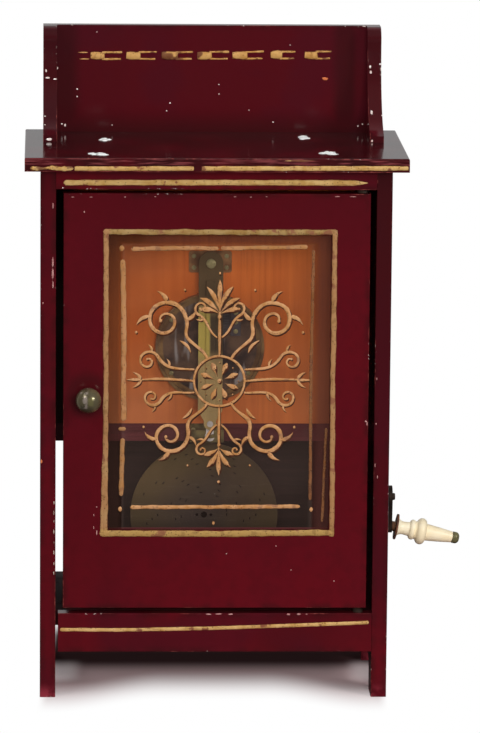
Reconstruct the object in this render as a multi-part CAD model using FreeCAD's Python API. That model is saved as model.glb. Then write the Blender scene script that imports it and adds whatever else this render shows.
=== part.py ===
"""Hand-cranked disc musical box in an upright lacquered cabinet with a glazed door.

Units are millimetres. While it is modelled, X runs to the right across the cabinet from its
middle, Y runs to the rear from the front edges of the side boards, and Z runs up from the floor.
At the end all pieces are shifted together, so that the origin is the bottom centre of the box
that holds the whole object.
"""
import FreeCAD, Part
import math
import os

V = FreeCAD.Vector
X_AXIS = V(1, 0, 0)
Y_AXIS = V(0, 1, 0)
Z_AXIS = V(0, 0, 1)
FRONT = V(0, -1, 0)
TOUCHING = 1e-6

# Case: boards
BODY_WIDTH = 269.0
BODY_DEPTH = 150.0
BODY_HEIGHT = 413.0
SIDE_THICK = 12.0
TOP_THICK = 10.5
TOP_OVERHANG = 12.0
TOP_REAR_OVERHANG = 4.0
TOP_EDGE_ROUND = 1.2
HEADER_HEIGHT = 15.0
RAIL_THICK = 12.0
PLINTH_CLEAR = 36.0
PLINTH_HEIGHT = 30.6
BOTTOM_THICK = 12.0
PLINTH_LEFT_GAP = 2.0
FOOT_DEPTH = 28.0
ARCH_HEIGHT = 26.0
ARCH_CORNER = 14.0
EDGE_ROUND = 0.8

# Case: inner boards
SHELF_THICK = 14.0
SOUNDBOARD_THICK = 6.0
DRIVE_BAY_DEPTH = 54.0
BACK_THICK = 6.0
BACK_INSET = 4.0
LOWER_BACK_LEFT_GAP = 9.0

# Gallery on the top board
GALLERY_HEIGHT = 84.5
GALLERY_SIDE_THICK = 10.8
GALLERY_SIDE_INSET = 2.0
GALLERY_BACK_THICK = 9.0
GALLERY_FOOT_DEPTH = 69.0
GALLERY_FOOT_LIP = 5.0
GALLERY_TOP_DEPTH = 14.0
GALLERY_TOP_ROUND = 11.0
GALLERY_REAR_INSET = 1.0
GALLERY_SWEEP_BACK = 0.64
GALLERY_SWEEP_UP = 0.28

# Nails
NAIL_RADIUS = 0.8
NAIL_LENGTH = 24.0
NAIL_PLACES = (0.2, 0.8)
GALLERY_NAIL_PLACES = (0.3, 0.7)
BACK_NAIL_SPREAD = 0.6

# Door
DOOR_THICK = 14.0
DOOR_GAP_LEFT = 5.7
DOOR_GAP_RIGHT = 4.6
DOOR_GAP_TOP = 3.2
DOOR_GAP_BOTTOM = 4.3
STILE_LEFT_WIDTH = 34.6
STILE_RIGHT_WIDTH = 29.5
RAIL_TOP_HEIGHT = 32.1
RAIL_BOTTOM_HEIGHT = 61.4
DOOR_LIP_THICK = 5.0
REBATE_WIDTH = 5.0
GLASS_THICK = 2.0
GLASS_CLEAR = 0.5
BEAD_THICK = 4.5
DOOR_EDGE_ROUND = 0.6

# Door pivots
PIVOT_INSET = 6.0
PIVOT_RADIUS = 1.5
PIVOT_ANCHOR = 11.0
PIVOT_COLLAR_RADIUS = 4.0
PIVOT_COLLAR_CLEAR = 0.3
PIVOT_BUSH_RADIUS = 3.0
PIVOT_BUSH_LENGTH = 12.0
PIVOT_END_CLEAR = 0.6
RUN_CLEAR = 0.05

# Door knob and its latch tongue
KNOB_HEIGHT = 237.0
KNOB_INSET = 19.2
KNOB_RADIUS = 9.75
KNOB_NECK_RADIUS = 4.2
KNOB_NECK_LENGTH = 5.0
KNOB_FOOT_RADIUS = 5.7
KNOB_FOOT_LENGTH = 1.5
KNOB_BORE_PAST_CENTRE = 3.0
ROSE_RADIUS = 7.0
ROSE_THICK = 1.6
KNOB_SPINDLE_RADIUS = 2.0
TONGUE_REACH = 27.5
TONGUE_WIDTH = 7.0
TONGUE_EYE_RADIUS = 4.6
TONGUE_THICK = 1.8
TONGUE_STANDOFF = 0.6
TONGUE_SPINDLE_END = 2.4
POCKET_CLEAR = 0.8

# Movement: bedplate and spindle
MOVEMENT_X = -2.0
MOVEMENT_RISE = 61.7
BEDPLATE_RADIUS = 42.5
BEDPLATE_THICK = 3.0
BEDPLATE_RIM_WIDTH = 2.2
BEDPLATE_RIM_HEIGHT = 4.0
BEDPLATE_SCREW_TURNS = (35, 145, 215, 325)
BEDPLATE_SCREW_INSET = 3.6
COMB_SIDE_SCREW_INSET = 2.2
SPINDLE_RADIUS = 2.5
SPINDLE_TIP_STANDOFF = 15.0
SPINDLE_TIP_LENGTH = 1.5
SPINDLE_TIP_RADIUS = 1.25
SPINDLE_TAIL = 1.0
SPINDLE_BUSH_RADIUS = 4.0
SPINDLE_BUSH_FRONT = 3.0
SPINDLE_BUSH_TAIL = 3.0
COLLAR_RADIUS = 8.0
COLLAR_THICK = 2.0
COLLAR_HUB_RADIUS = 4.0
DISC_STANDOFF = 10.8
DRIVE_PEG_RADIUS = 1.0
DRIVE_PEG_OFFSET = 5.5
DRIVE_PEG_LENGTH = 1.8

# Movement: star wheels and comb
NOTE_COUNT = 16
NOTE_PITCH = 1.3
NOTE_START_RISE = 10.75
STAR_RADIUS = 3.4
STAR_ROOT_RADIUS = 2.3
STAR_POINTS = 8
STAR_THICK = 0.6
STAR_AXLE_RADIUS = 0.8
STAR_POST_THICK = 1.4
STAR_POST_WIDTH = 4.4
STAR_POST_CLEAR = 0.75
COMB_CLEAR = 0.3
TOOTH_LENGTH = 12.3
TOOTH_WIDTH = 0.84
TOOTH_THICK = 0.8
COMB_BASE_WIDTH = 8.0
COMB_BASE_THICK = 2.4
COMB_BASE_MARGIN = 0.8
COMB_EDGE_ROUND = 0.5
COMB_SCREW_COUNT = 3

# Pressure bar, its rollers, bracket and catch
BAR_PIVOT_RISE = 68.6
BAR_WIDTH = 19.0
BAR_THICK = 2.0
BAR_STANDOFF = 20.5
BAR_RIDGE_WIDTH = 8.0
BAR_RIDGE_HEIGHT = 1.2
BAR_RIDGE_ROUND = 0.96
BAR_END_WIDTH = 9.6
BAR_TAPER_LENGTH = 8.0
BAR_PIVOT_RADIUS = 2.0
PIVOT_HEAD_RADIUS = 3.8
ROLLER_RADIUS = 2.6
ROLLER_COUNT = 4
ROLLER_GAP = 0.8
ROLLER_AXLE_RADIUS = 0.8
ROLLER_BAR_CLEAR = 0.3
LUG_THICK = 1.2
LUG_WIDTH = 6.0
LUG_PAST_ROLLER = 1.8
BRACKET_WIDTH = 33.5
BRACKET_HEIGHT = 17.0
BRACKET_THICK = 1.5
BRACKET_BOSS_RADIUS = 5.5
BRACKET_DROP = 1.6
BRACKET_CORNER = 2.0
PIVOT_SCREW_IN_BOSS = 9.8
FACE_CLEAR = 0.2

CATCH_PIVOT_ABOVE_SHELF = 3.5
CATCH_PIVOT_RADIUS = 1.5
CATCH_HEAD_RADIUS = 3.8
CATCH_THICK = 1.4
CATCH_WIDTH = 6.0
RIVET_HEAD_RADIUS = 2.4
RIVET_HEAD_THICK = 0.7
CATCH_STANDOFF = 0.3
STUD_DROP = 9.0
STUD_OFFSET = 5.5
STUD_RADIUS = 1.4
STUD_CLEAR = 0.25
KEEPER_LEFT = 16.5
KEEPER_RIGHT = 11.0
KEEPER_THICK = 1.5
KEEPER_BELOW_SHELF_TOP = 12.0
KEEPER_LIP_BELOW_SHELF_TOP = 2.4
KEEPER_LIP_CLEAR = 0.4
KEEPER_SCREW_RISE = 7.2

# Screws
SMALL_SCREW_HEAD_RADIUS = 1.8
SMALL_SCREW_HEAD_THICK = 1.2
SMALL_SCREW_RADIUS = 1.0
SMALL_SCREW_LENGTH = 5.0
SCREW_RIM_SHARE = 0.45
SCREW_SLOT_SHARE = 0.28
SCREW_DOME_STEPS = 4
BRACKET_SCREW_INSET = 4.0

# Disc stored in the lower compartment
DISC_RADIUS = 58.0
DISC_HEADROOM = 2.4
DISC_THICK = 0.8
DISC_X = -5.4
RACK_LENGTH = 76.0
RACK_DEPTH = 12.0
RACK_HEIGHT = 8.0
RACK_GROOVE = 1.6
RACK_FLOOR = 2.0
NOTE_TRACKS = 8
NOTES_PER_TRACK = 11
NOTE_SLOT_LENGTH = 2.2
NOTE_SLOT_WIDTH = 0.8
NOTE_TRACK_START = 18.0
NOTE_TRACK_STEP = 4.6
NOTE_TRACK_TWIST = 137.5
NOTE_SCATTER_STRIDE = 5
NOTE_SCATTER_TURN = 3
NOTE_SCATTER_STEPS = 4
NOTE_SCATTER = 11.0
PEG_HOLE_CLEAR = 0.2

# Crank
CRANK_BEHIND_SOUNDBOARD = 22.0
CRANK_HEIGHT = 136.7
CRANK_RADIUS = 23.8
CRANK_SHAFT_RADIUS = 2.5
ARM_STANDOFF = 7.3
ARM_THICK = 2.8
ARM_HUB_RADIUS = 8.8
ARM_BOSS_RADIUS = 5.3
CRANK_NUT_RADIUS = 2.8
CRANK_NUT_THICK = 2.4
CRANK_NUT_ROUND = 1.0
SHAFT_IN_NUT = 1.7
CRANK_BUSH_RADIUS = 5.0
CRANK_BUSH_FLANGE_RADIUS = 8.5
CRANK_BUSH_FLANGE_THICK = 1.5

# Crank handle
HANDLE_DROOP = 10.7
HANDLE_PIN_RADIUS = 1.8
HANDLE_PIN_SHOULDER_RADIUS = 4.0
HANDLE_PIN_SHOULDER = 2.6
HANDLE_FLANGE_RADIUS = 10.2
HANDLE_FLANGE_THICK = 1.4
HANDLE_GAP = 0.3
HANDLE_LENGTH = 44.6
HANDLE_BASE_RADIUS = 7.8
HANDLE_COVE_RADIUS = 5.7
HANDLE_COVE_AT = 2.4
HANDLE_NECK_RADIUS = 5.2
HANDLE_NECK_AT = 5.8
HANDLE_NECK_END_RADIUS = 5.6
HANDLE_BEAD_RADIUS = 8.0
HANDLE_BEAD_AT = 12.0
HANDLE_BEAD_HALF = 2.3
HANDLE_BEAD_END_RADIUS = 6.9
HANDLE_BELLY_RADIUS = 10.5
HANDLE_BELLY_AT = 19.4
HANDLE_BELLY_HALF = 3.8
HANDLE_BELLY_START_RADIUS = 7.7
HANDLE_BELLY_END_RADIUS = 6.9
HANDLE_GRIP_START = 23.9
HANDLE_GRIP_START_RADIUS = 6.7
HANDLE_GRIP_MID_AT = 33.9
HANDLE_GRIP_MID_RADIUS = 5.7
HANDLE_END_RADIUS = 4.3
HANDLE_CAP_RADIUS = 4.6
HANDLE_CAP_LENGTH = 5.4
HANDLE_CAP_ROUND = 3.2

# Drive train behind the soundboard
PULLEY_INSET = 11.5
PULLEY_WIDTH = 6.0
PULLEY_LIP = 1.4
CRANK_PULLEY_RADIUS = 12.0
WORM_PULLEY_RADIUS = 8.0
BELT_RADIUS = 1.1
GROOVE_CLEAR = 0.15
BELT_SLOT_MARGIN = 3.0
WORM_RADIUS = 4.0
WORM_ROOT_RADIUS = 3.1
WORM_CREST_RADIUS = 4.8
WORM_THREAD_BASE = 1.7
WORM_THREAD_CREST = 0.8
WORM_TURNS = 5
WORM_CORE_MARGIN = 0.6
THREAD_BURIED = 0.3
WORM_SHAFT_RADIUS = 2.0
WORM_SHAFT_LEFT = 24.0
WORM_SHAFT_RIGHT_END = 5.0
WHEEL_TEETH = 24
WHEEL_MODULE = 1.0
WHEEL_THICK = 4.0
WHEEL_TOOTH_BASE = 1.7
WHEEL_TOOTH_TIP = 0.8
WHEEL_ADDENDUM = 0.8
WHEEL_DEDENDUM = 1.2
WHEEL_TOOTH_BURIED = 0.4
WHEEL_HUB_RADIUS = 5.0
WHEEL_HUB_LENGTH = 4.0
HUB_END_CLEAR = 1.0
MESH_CLEAR = 0.1
BRIDGE_REACH = 18.0
BRIDGE_WIDTH = 14.0
BRIDGE_THICK = 2.5
PLATE_THICK = 2.0
SHAFT_BRACKET_WIDTH = 12.0
SHAFT_BRACKET_FOOT = 12.0
SHAFT_BRACKET_EDGE = 6.0
SHAFT_BRACKET_SCREW_AT = 7.2
CRANK_BRACKET_HALF = 20.0
CRANK_BRACKET_WIDTH = 14.0
CRANK_BRACKET_REACH = 24.0
CRANK_BRACKET_FOOT = 10.0

# Places worked out from the sizes above
SIDE_X = BODY_WIDTH / 2
INNER_X = SIDE_X - SIDE_THICK
TOP_Z = BODY_HEIGHT + TOP_THICK
PLINTH_TOP = PLINTH_CLEAR + PLINTH_HEIGHT
HEADER_Z = BODY_HEIGHT - HEADER_HEIGHT
PLINTH_LEFT = -INNER_X + PLINTH_LEFT_GAP
SHELF_UNDER = PLINTH_TOP + RACK_FLOOR + 2 * DISC_RADIUS + DISC_HEADROOM
SHELF_TOP = SHELF_UNDER + SHELF_THICK
BACK_Y = BODY_DEPTH - BACK_INSET - BACK_THICK
SOUND_BACK = BACK_Y - DRIVE_BAY_DEPTH
SOUND_FRONT = SOUND_BACK - SOUNDBOARD_THICK
GALLERY_X = SIDE_X - GALLERY_SIDE_INSET
GALLERY_INNER_X = GALLERY_X - GALLERY_SIDE_THICK
GALLERY_REAR = BODY_DEPTH - GALLERY_REAR_INSET
DOOR_LEFT = -INNER_X + DOOR_GAP_LEFT
DOOR_RIGHT = INNER_X - DOOR_GAP_RIGHT
DOOR_BOTTOM = PLINTH_TOP + DOOR_GAP_BOTTOM
DOOR_TOP = HEADER_Z - DOOR_GAP_TOP
OPENING_LEFT = DOOR_LEFT + STILE_LEFT_WIDTH
OPENING_RIGHT = DOOR_RIGHT - STILE_RIGHT_WIDTH
OPENING_BOTTOM = DOOR_BOTTOM + RAIL_BOTTOM_HEIGHT
OPENING_TOP = DOOR_TOP - RAIL_TOP_HEIGHT
PIVOT_X = DOOR_RIGHT - PIVOT_INSET
PIVOT_Y = DOOR_THICK / 2
KNOB_X = DOOR_LEFT + KNOB_INSET
TONGUE_Y = DOOR_THICK + TONGUE_STANDOFF
MOVEMENT_Z = SHELF_TOP + MOVEMENT_RISE
BEDPLATE_Y = SOUND_FRONT - BEDPLATE_THICK
SPINDLE_TIP_Y = SOUND_FRONT - SPINDLE_TIP_STANDOFF
DISC_PLANE_Y = SOUND_FRONT - DISC_STANDOFF
BAR_FRONT_Y = SOUND_FRONT - BAR_STANDOFF
CRANK_Y = SOUND_BACK + CRANK_BEHIND_SOUNDBOARD
STAR_Y = DISC_PLANE_Y + STAR_RADIUS - FACE_CLEAR
NOTE_START_Z = MOVEMENT_Z + NOTE_START_RISE
NOTE_END_Z = NOTE_START_Z + (NOTE_COUNT - 1) * NOTE_PITCH
BAR_PIVOT_Z = MOVEMENT_Z + BAR_PIVOT_RISE
BAR_BACK_Y = BAR_FRONT_Y + BAR_THICK
CATCH_Z = SHELF_TOP + CATCH_PIVOT_ABOVE_SHELF
CATCH_Y = BAR_BACK_Y + CATCH_STANDOFF
STUD_X = MOVEMENT_X + STUD_OFFSET
STUD_Z = CATCH_Z - STUD_DROP
STUD_REACH = math.hypot(STUD_OFFSET, STUD_DROP)
CATCH_ANGLE = math.degrees(math.atan2(STUD_OFFSET, STUD_DROP))
ROLLER_Y = BAR_BACK_Y + ROLLER_BAR_CLEAR + ROLLER_RADIUS
DISC_Z = PLINTH_TOP + RACK_FLOOR + DISC_RADIUS
DISC_Y = SOUND_BACK
ARM_X = SIDE_X + ARM_STANDOFF
ARM_FACE_X = ARM_X + ARM_THICK
PIN_Z = CRANK_HEIGHT - CRANK_RADIUS
PULLEY_X = INNER_X - PULLEY_INSET
PIN_DIRECTION = V(math.cos(math.radians(HANDLE_DROOP)), 0, -math.sin(math.radians(HANDLE_DROOP)))
PIN_BASE = V(ARM_FACE_X, CRANK_Y, PIN_Z)
WHEEL_RADIUS = WHEEL_TEETH * WHEEL_MODULE / 2
WORM_LEAD = math.pi * WHEEL_MODULE
WORM_Z = MOVEMENT_Z - WHEEL_RADIUS - WORM_RADIUS - MESH_CLEAR
BELT_RATIO = CRANK_PULLEY_RADIUS / WORM_PULLEY_RADIUS
WHEEL_RATIO = 1.0 / WHEEL_TEETH

pieces = {}


def block(x0, x1, y0, y1, z0, z1):
    """A straight-sided board between two corners."""
    return Part.makeBox(x1 - x0, y1 - y0, z1 - z0, V(x0, y0, z0))


def rod(radius, start, direction, length):
    """A round rod from a start point."""
    return Part.makeCylinder(radius, length, V(start), V(direction))


def tube(outer, inner, start, direction, length):
    """A round tube from a start point."""
    return rod(outer, start, direction, length).cut(rod(inner, start, direction, length))


def turned(outline, start, direction):
    """A turned piece: (distance along the axis, radius) points joined by lines."""
    points = [V(radius, 0, along) for along, radius in outline]
    face = Part.Face(Part.makePolygon(points + [points[0]]))
    solid = face.revolve(V(0, 0, 0), Z_AXIS, 360)
    return placed(solid, start, direction)


def placed(shape, start, direction):
    """Turn a shape's Z axis to a direction and move its origin to a start point."""
    copy = shape.copy()
    turn = FreeCAD.Rotation(Z_AXIS, V(direction))
    copy.Placement = FreeCAD.Placement(V(start), turn)
    return copy


def prism(points, thickness, plane):
    """A flat plate from an outline of points, thickened along one axis."""
    face = Part.Face(Part.makePolygon(points + [points[0]]))
    return face.extrude(plane * thickness)


def rounded(shape, radius, picks):
    """Round the edges of a shape that a test picks."""
    edges = [edge for edge in shape.Edges if picks(edge)]
    return shape.makeFillet(radius, edges) if edges else shape


def runs_along(edge, axis):
    """Whether a straight edge runs along an axis."""
    if len(edge.Vertexes) < 2:
        return False
    step = edge.Vertexes[1].Point.sub(edge.Vertexes[0].Point)
    return step.Length > 0 and abs(abs(step.dot(axis)) - step.Length) < TOUCHING


def at_plane(edge, axis, value):
    """Whether a whole edge lies in the plane at a value along an axis."""
    return all(abs(vertex.Point.dot(axis) - value) < TOUCHING for vertex in edge.Vertexes)


def screw(centre, direction, head_radius, shank_radius, shank_length):
    """A round-head screw whose slot is cut across the head; direction points into the work."""
    into = V(direction)
    head_thick = head_radius * SMALL_SCREW_HEAD_THICK / SMALL_SCREW_HEAD_RADIUS
    rim = SCREW_RIM_SHARE * head_thick
    outline = [(0, 0), (0, head_radius), (-rim, head_radius)]
    for step in range(1, SCREW_DOME_STEPS):
        angle = math.pi / 2 * step / SCREW_DOME_STEPS
        outline.append((-rim - (head_thick - rim) * math.sin(angle), head_radius * math.cos(angle)))
    outline.append((-head_thick, 0))
    head = turned(outline, centre, into)
    slot_width = head_radius * SCREW_SLOT_SHARE
    slot = Part.makeBox(4 * head_radius, slot_width, head_thick,
                        V(-2 * head_radius, -slot_width / 2, -1.5 * head_thick))
    head = head.cut(placed(slot, centre, into))
    return head.fuse(rod(shank_radius, centre, into, shank_length))


def small_screw(centre, direction):
    """One of the small round-head screws that hold the fittings."""
    return screw(centre, direction, SMALL_SCREW_HEAD_RADIUS, SMALL_SCREW_RADIUS, SMALL_SCREW_LENGTH)


def cut_all(shape, tools):
    """Cut a list of tools from a shape."""
    return shape.cut(Part.makeCompound(tools))


def save(name, shape):
    """Keep a finished piece under its node name."""
    pieces[name] = shape


# Case
def side_blank(x0, x1):
    """A side board with a foot at the front and the rear and an arch between them."""
    board = block(x0, x1, 0, BODY_DEPTH, 0, BODY_HEIGHT)
    arch = block(x0 - 1, x1 + 1, FOOT_DEPTH, BODY_DEPTH - FOOT_DEPTH, -ARCH_CORNER, ARCH_HEIGHT)
    arch = rounded(arch, ARCH_CORNER,
                   lambda edge: runs_along(edge, X_AXIS) and at_plane(edge, Z_AXIS, ARCH_HEIGHT))
    board = board.cut(arch)
    return rounded(board, EDGE_ROUND,
                   lambda edge: runs_along(edge, Z_AXIS) and at_plane(edge, Y_AXIS, 0))


def nail(start, direction):
    """A flush nail driven in from a start point."""
    return rod(NAIL_RADIUS, start, direction, NAIL_LENGTH)


def case_nails():
    """The nails that hold the boards together."""
    nails = []
    shelf_mid = SHELF_TOP - SHELF_THICK / 2
    bottom_mid = PLINTH_TOP - BOTTOM_THICK / 2
    inner_depth = BACK_Y - SOUND_FRONT
    for share in NAIL_PLACES:
        y = SOUND_FRONT + share * inner_depth
        nails.append(nail(V(-SIDE_X, y, shelf_mid), X_AXIS))
        nails.append(nail(V(SIDE_X, y, shelf_mid), -X_AXIS))
        nails.append(nail(V(SIDE_X, share * BODY_DEPTH, bottom_mid), -X_AXIS))
        nails.append(nail(V(-SIDE_X, share * BODY_DEPTH, bottom_mid), X_AXIS))
    gallery_mid = GALLERY_REAR - GALLERY_BACK_THICK / 2
    for share in GALLERY_NAIL_PLACES:
        z = TOP_Z + share * GALLERY_HEIGHT
        nails.append(nail(V(-GALLERY_X, gallery_mid, z), X_AXIS))
        nails.append(nail(V(GALLERY_X, gallery_mid, z), -X_AXIS))
    back_face = BACK_Y + BACK_THICK
    edge_inset = BACK_THICK / 2
    for side in (-1, 0, 1):
        x = side * BACK_NAIL_SPREAD * INNER_X
        nails.append(nail(V(x, back_face, shelf_mid + edge_inset), FRONT))
        nails.append(nail(V(x, back_face, shelf_mid - edge_inset), FRONT))
    return nails


def gallery_side(x0):
    """A shaped end of the gallery: deep at its foot, sweeping up to a rounded top."""
    foot = GALLERY_REAR - GALLERY_FOOT_DEPTH
    top = TOP_Z + GALLERY_HEIGHT
    crest = GALLERY_REAR - GALLERY_TOP_DEPTH
    a = V(x0, GALLERY_REAR, TOP_Z)
    b = V(x0, foot, TOP_Z)
    c = V(x0, foot, TOP_Z + GALLERY_FOOT_LIP)
    d = V(x0, crest - GALLERY_TOP_ROUND, top - GALLERY_TOP_ROUND)
    e = V(x0, crest, top)
    f = V(x0, GALLERY_REAR, top)
    sweep_mid = V(x0, foot + GALLERY_SWEEP_BACK * (d.y - c.y), c.z + GALLERY_SWEEP_UP * (d.z - c.z))
    slant = GALLERY_TOP_ROUND * (1 - math.cos(math.radians(45)))
    round_mid = V(x0, crest - GALLERY_TOP_ROUND + slant, top - slant)
    edges = [Part.LineSegment(a, b).toShape(), Part.LineSegment(b, c).toShape(),
             Part.Arc(c, sweep_mid, d).toShape(), Part.Arc(d, round_mid, e).toShape(),
             Part.LineSegment(e, f).toShape(), Part.LineSegment(f, a).toShape()]
    return Part.Face(Part.Wire(edges)).extrude(V(GALLERY_SIDE_THICK, 0, 0))


def make_case():
    """All boards of the cabinet, with the holes and pockets that its fittings need."""
    nails = case_nails()
    top = block(-SIDE_X - TOP_OVERHANG, SIDE_X + TOP_OVERHANG,
                -TOP_OVERHANG, BODY_DEPTH + TOP_REAR_OVERHANG, BODY_HEIGHT, TOP_Z)
    top = rounded(top, TOP_EDGE_ROUND, lambda edge: at_plane(edge, Z_AXIS, TOP_Z))
    save("top_board", top)

    pocket = block(-INNER_X - POCKET_CLEAR - (TONGUE_REACH - (KNOB_X + INNER_X)), -INNER_X,
                   TONGUE_Y - POCKET_CLEAR, TONGUE_Y + TONGUE_THICK + POCKET_CLEAR,
                   KNOB_HEIGHT - TONGUE_REACH / 2 - POCKET_CLEAR,
                   KNOB_HEIGHT + TONGUE_WIDTH / 2 + POCKET_CLEAR)
    save("left_side", cut_all(side_blank(-SIDE_X, -INNER_X), nails + [pocket]))

    bush_hole = rod(CRANK_BUSH_RADIUS, V(INNER_X - 1, CRANK_Y, CRANK_HEIGHT), X_AXIS, SIDE_THICK + 2)
    save("right_side", cut_all(side_blank(INNER_X, SIDE_X), nails + [bush_hole]))

    header = block(-INNER_X, INNER_X, 0, RAIL_THICK, HEADER_Z, BODY_HEIGHT)
    pin_hole = rod(PIVOT_RADIUS, V(PIVOT_X, PIVOT_Y, HEADER_Z), Z_AXIS, PIVOT_ANCHOR)
    save("header_rail", header.cut(pin_hole))

    plinth = block(PLINTH_LEFT, INNER_X, 0, RAIL_THICK, PLINTH_CLEAR, PLINTH_TOP)
    plinth = rounded(plinth, EDGE_ROUND,
                     lambda edge: runs_along(edge, X_AXIS) and at_plane(edge, Y_AXIS, 0))
    pin_hole = rod(PIVOT_RADIUS, V(PIVOT_X, PIVOT_Y, PLINTH_TOP - PIVOT_ANCHOR), Z_AXIS, PIVOT_ANCHOR)
    save("plinth_rail", plinth.cut(pin_hole))

    bottom = block(-INNER_X, INNER_X, RAIL_THICK, BODY_DEPTH, PLINTH_TOP - BOTTOM_THICK, PLINTH_TOP)
    save("bottom_board", cut_all(bottom, nails))

    shelf = block(-INNER_X, INNER_X, SOUND_FRONT, BACK_Y, SHELF_UNDER, SHELF_TOP)
    slot_half = CRANK_PULLEY_RADIUS + BELT_RADIUS + BELT_SLOT_MARGIN
    slot = block(PULLEY_X - BELT_RADIUS - BELT_SLOT_MARGIN, PULLEY_X + BELT_RADIUS + BELT_SLOT_MARGIN,
                 CRANK_Y - slot_half, CRANK_Y + slot_half, SHELF_UNDER - 1, SHELF_TOP + 1)
    save("shelf", cut_all(shelf, nails + [slot]))

    sound = block(-INNER_X, INNER_X, SOUND_FRONT, SOUND_BACK, SHELF_TOP, BODY_HEIGHT)
    bush_hole = rod(SPINDLE_BUSH_RADIUS, V(MOVEMENT_X, SOUND_FRONT - 1, MOVEMENT_Z),
                    Y_AXIS, SOUNDBOARD_THICK + 2)
    save("soundboard", sound.cut(bush_hole))

    joint_z = SHELF_TOP - SHELF_THICK / 2
    upper = block(-INNER_X, INNER_X, BACK_Y, BACK_Y + BACK_THICK, joint_z, BODY_HEIGHT)
    save("upper_back_board", cut_all(upper, nails))
    lower = block(-INNER_X + LOWER_BACK_LEFT_GAP, INNER_X, BACK_Y, BACK_Y + BACK_THICK, PLINTH_TOP, joint_z)
    save("lower_back_panel", cut_all(lower, nails))

    back = block(-GALLERY_INNER_X, GALLERY_INNER_X, GALLERY_REAR - GALLERY_BACK_THICK, GALLERY_REAR,
                 TOP_Z, TOP_Z + GALLERY_HEIGHT)
    save("gallery_back", cut_all(back, nails))
    save("gallery_left_side", cut_all(gallery_side(-GALLERY_X), nails))
    save("gallery_right_side", cut_all(gallery_side(GALLERY_INNER_X), nails))
    save("case_nails", Part.makeCompound(nails))


# Door
def make_door():
    """The framed and glazed door, with its pivots."""
    pins = []
    bushes = []
    wells = []
    for face_z, gap, way in ((DOOR_BOTTOM, DOOR_GAP_BOTTOM, 1), (DOOR_TOP, DOOR_GAP_TOP, -1)):
        up = V(0, 0, way)
        anchor = V(PIVOT_X, PIVOT_Y, face_z - way * (gap + PIVOT_ANCHOR))
        length = PIVOT_ANCHOR + gap + PIVOT_BUSH_LENGTH - PIVOT_END_CLEAR
        pin = rod(PIVOT_RADIUS, anchor, up, length)
        collar = rod(PIVOT_COLLAR_RADIUS, V(PIVOT_X, PIVOT_Y, face_z - way * gap), up,
                     gap - PIVOT_COLLAR_CLEAR)
        pins.append(pin.fuse(collar))
        seat = V(PIVOT_X, PIVOT_Y, face_z)
        bushes.append(tube(PIVOT_BUSH_RADIUS, PIVOT_RADIUS + RUN_CLEAR, seat, up, PIVOT_BUSH_LENGTH))
        wells.append(rod(PIVOT_BUSH_RADIUS, seat, up, PIVOT_BUSH_LENGTH))
    save("door_pivot_pins", Part.makeCompound(pins))
    save("door_pivot_bushes", Part.makeCompound(bushes))

    rebate = block(OPENING_LEFT - REBATE_WIDTH, OPENING_RIGHT + REBATE_WIDTH,
                   DOOR_LIP_THICK, DOOR_THICK + 1,
                   OPENING_BOTTOM - REBATE_WIDTH, OPENING_TOP + REBATE_WIDTH)
    spindle_hole = rod(KNOB_SPINDLE_RADIUS + RUN_CLEAR, V(KNOB_X, -1, KNOB_HEIGHT), Y_AXIS,
                       DOOR_THICK + 2)

    opening = block(OPENING_LEFT, OPENING_RIGHT, -1, DOOR_THICK + 1, OPENING_BOTTOM, OPENING_TOP)
    frame = block(DOOR_LEFT, DOOR_RIGHT, 0, DOOR_THICK, DOOR_BOTTOM, DOOR_TOP).cut(opening)
    frame = rounded(frame, DOOR_EDGE_ROUND, lambda edge: at_plane(edge, Y_AXIS, 0))
    frame = cut_all(frame, [rebate, spindle_hole] + wells)

    def board(x0, x1, z0, z1):
        return frame.common(block(x0, x1, 0, DOOR_THICK, z0, z1))

    save("door_left_stile", board(DOOR_LEFT, OPENING_LEFT, DOOR_BOTTOM, DOOR_TOP))
    save("door_right_stile", board(OPENING_RIGHT, DOOR_RIGHT, DOOR_BOTTOM, DOOR_TOP))
    save("door_top_rail", board(OPENING_LEFT, OPENING_RIGHT, OPENING_TOP, DOOR_TOP))
    save("door_bottom_rail", board(OPENING_LEFT, OPENING_RIGHT, DOOR_BOTTOM, OPENING_BOTTOM))

    edge = REBATE_WIDTH - GLASS_CLEAR
    save("door_glass", block(OPENING_LEFT - edge, OPENING_RIGHT + edge,
                             DOOR_LIP_THICK, DOOR_LIP_THICK + GLASS_THICK,
                             OPENING_BOTTOM - edge, OPENING_TOP + edge))
    bead_y = DOOR_LIP_THICK + GLASS_THICK
    outer_left = OPENING_LEFT - REBATE_WIDTH
    outer_right = OPENING_RIGHT + REBATE_WIDTH
    low = OPENING_BOTTOM - REBATE_WIDTH
    high = OPENING_TOP + REBATE_WIDTH
    beads = [block(outer_left, OPENING_LEFT, bead_y, bead_y + BEAD_THICK, low, high),
             block(OPENING_RIGHT, outer_right, bead_y, bead_y + BEAD_THICK, low, high),
             block(OPENING_LEFT, OPENING_RIGHT, bead_y, bead_y + BEAD_THICK, low, OPENING_BOTTOM),
             block(OPENING_LEFT, OPENING_RIGHT, bead_y, bead_y + BEAD_THICK, OPENING_TOP, high)]
    save("glazing_beads", Part.makeCompound(beads))


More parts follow.
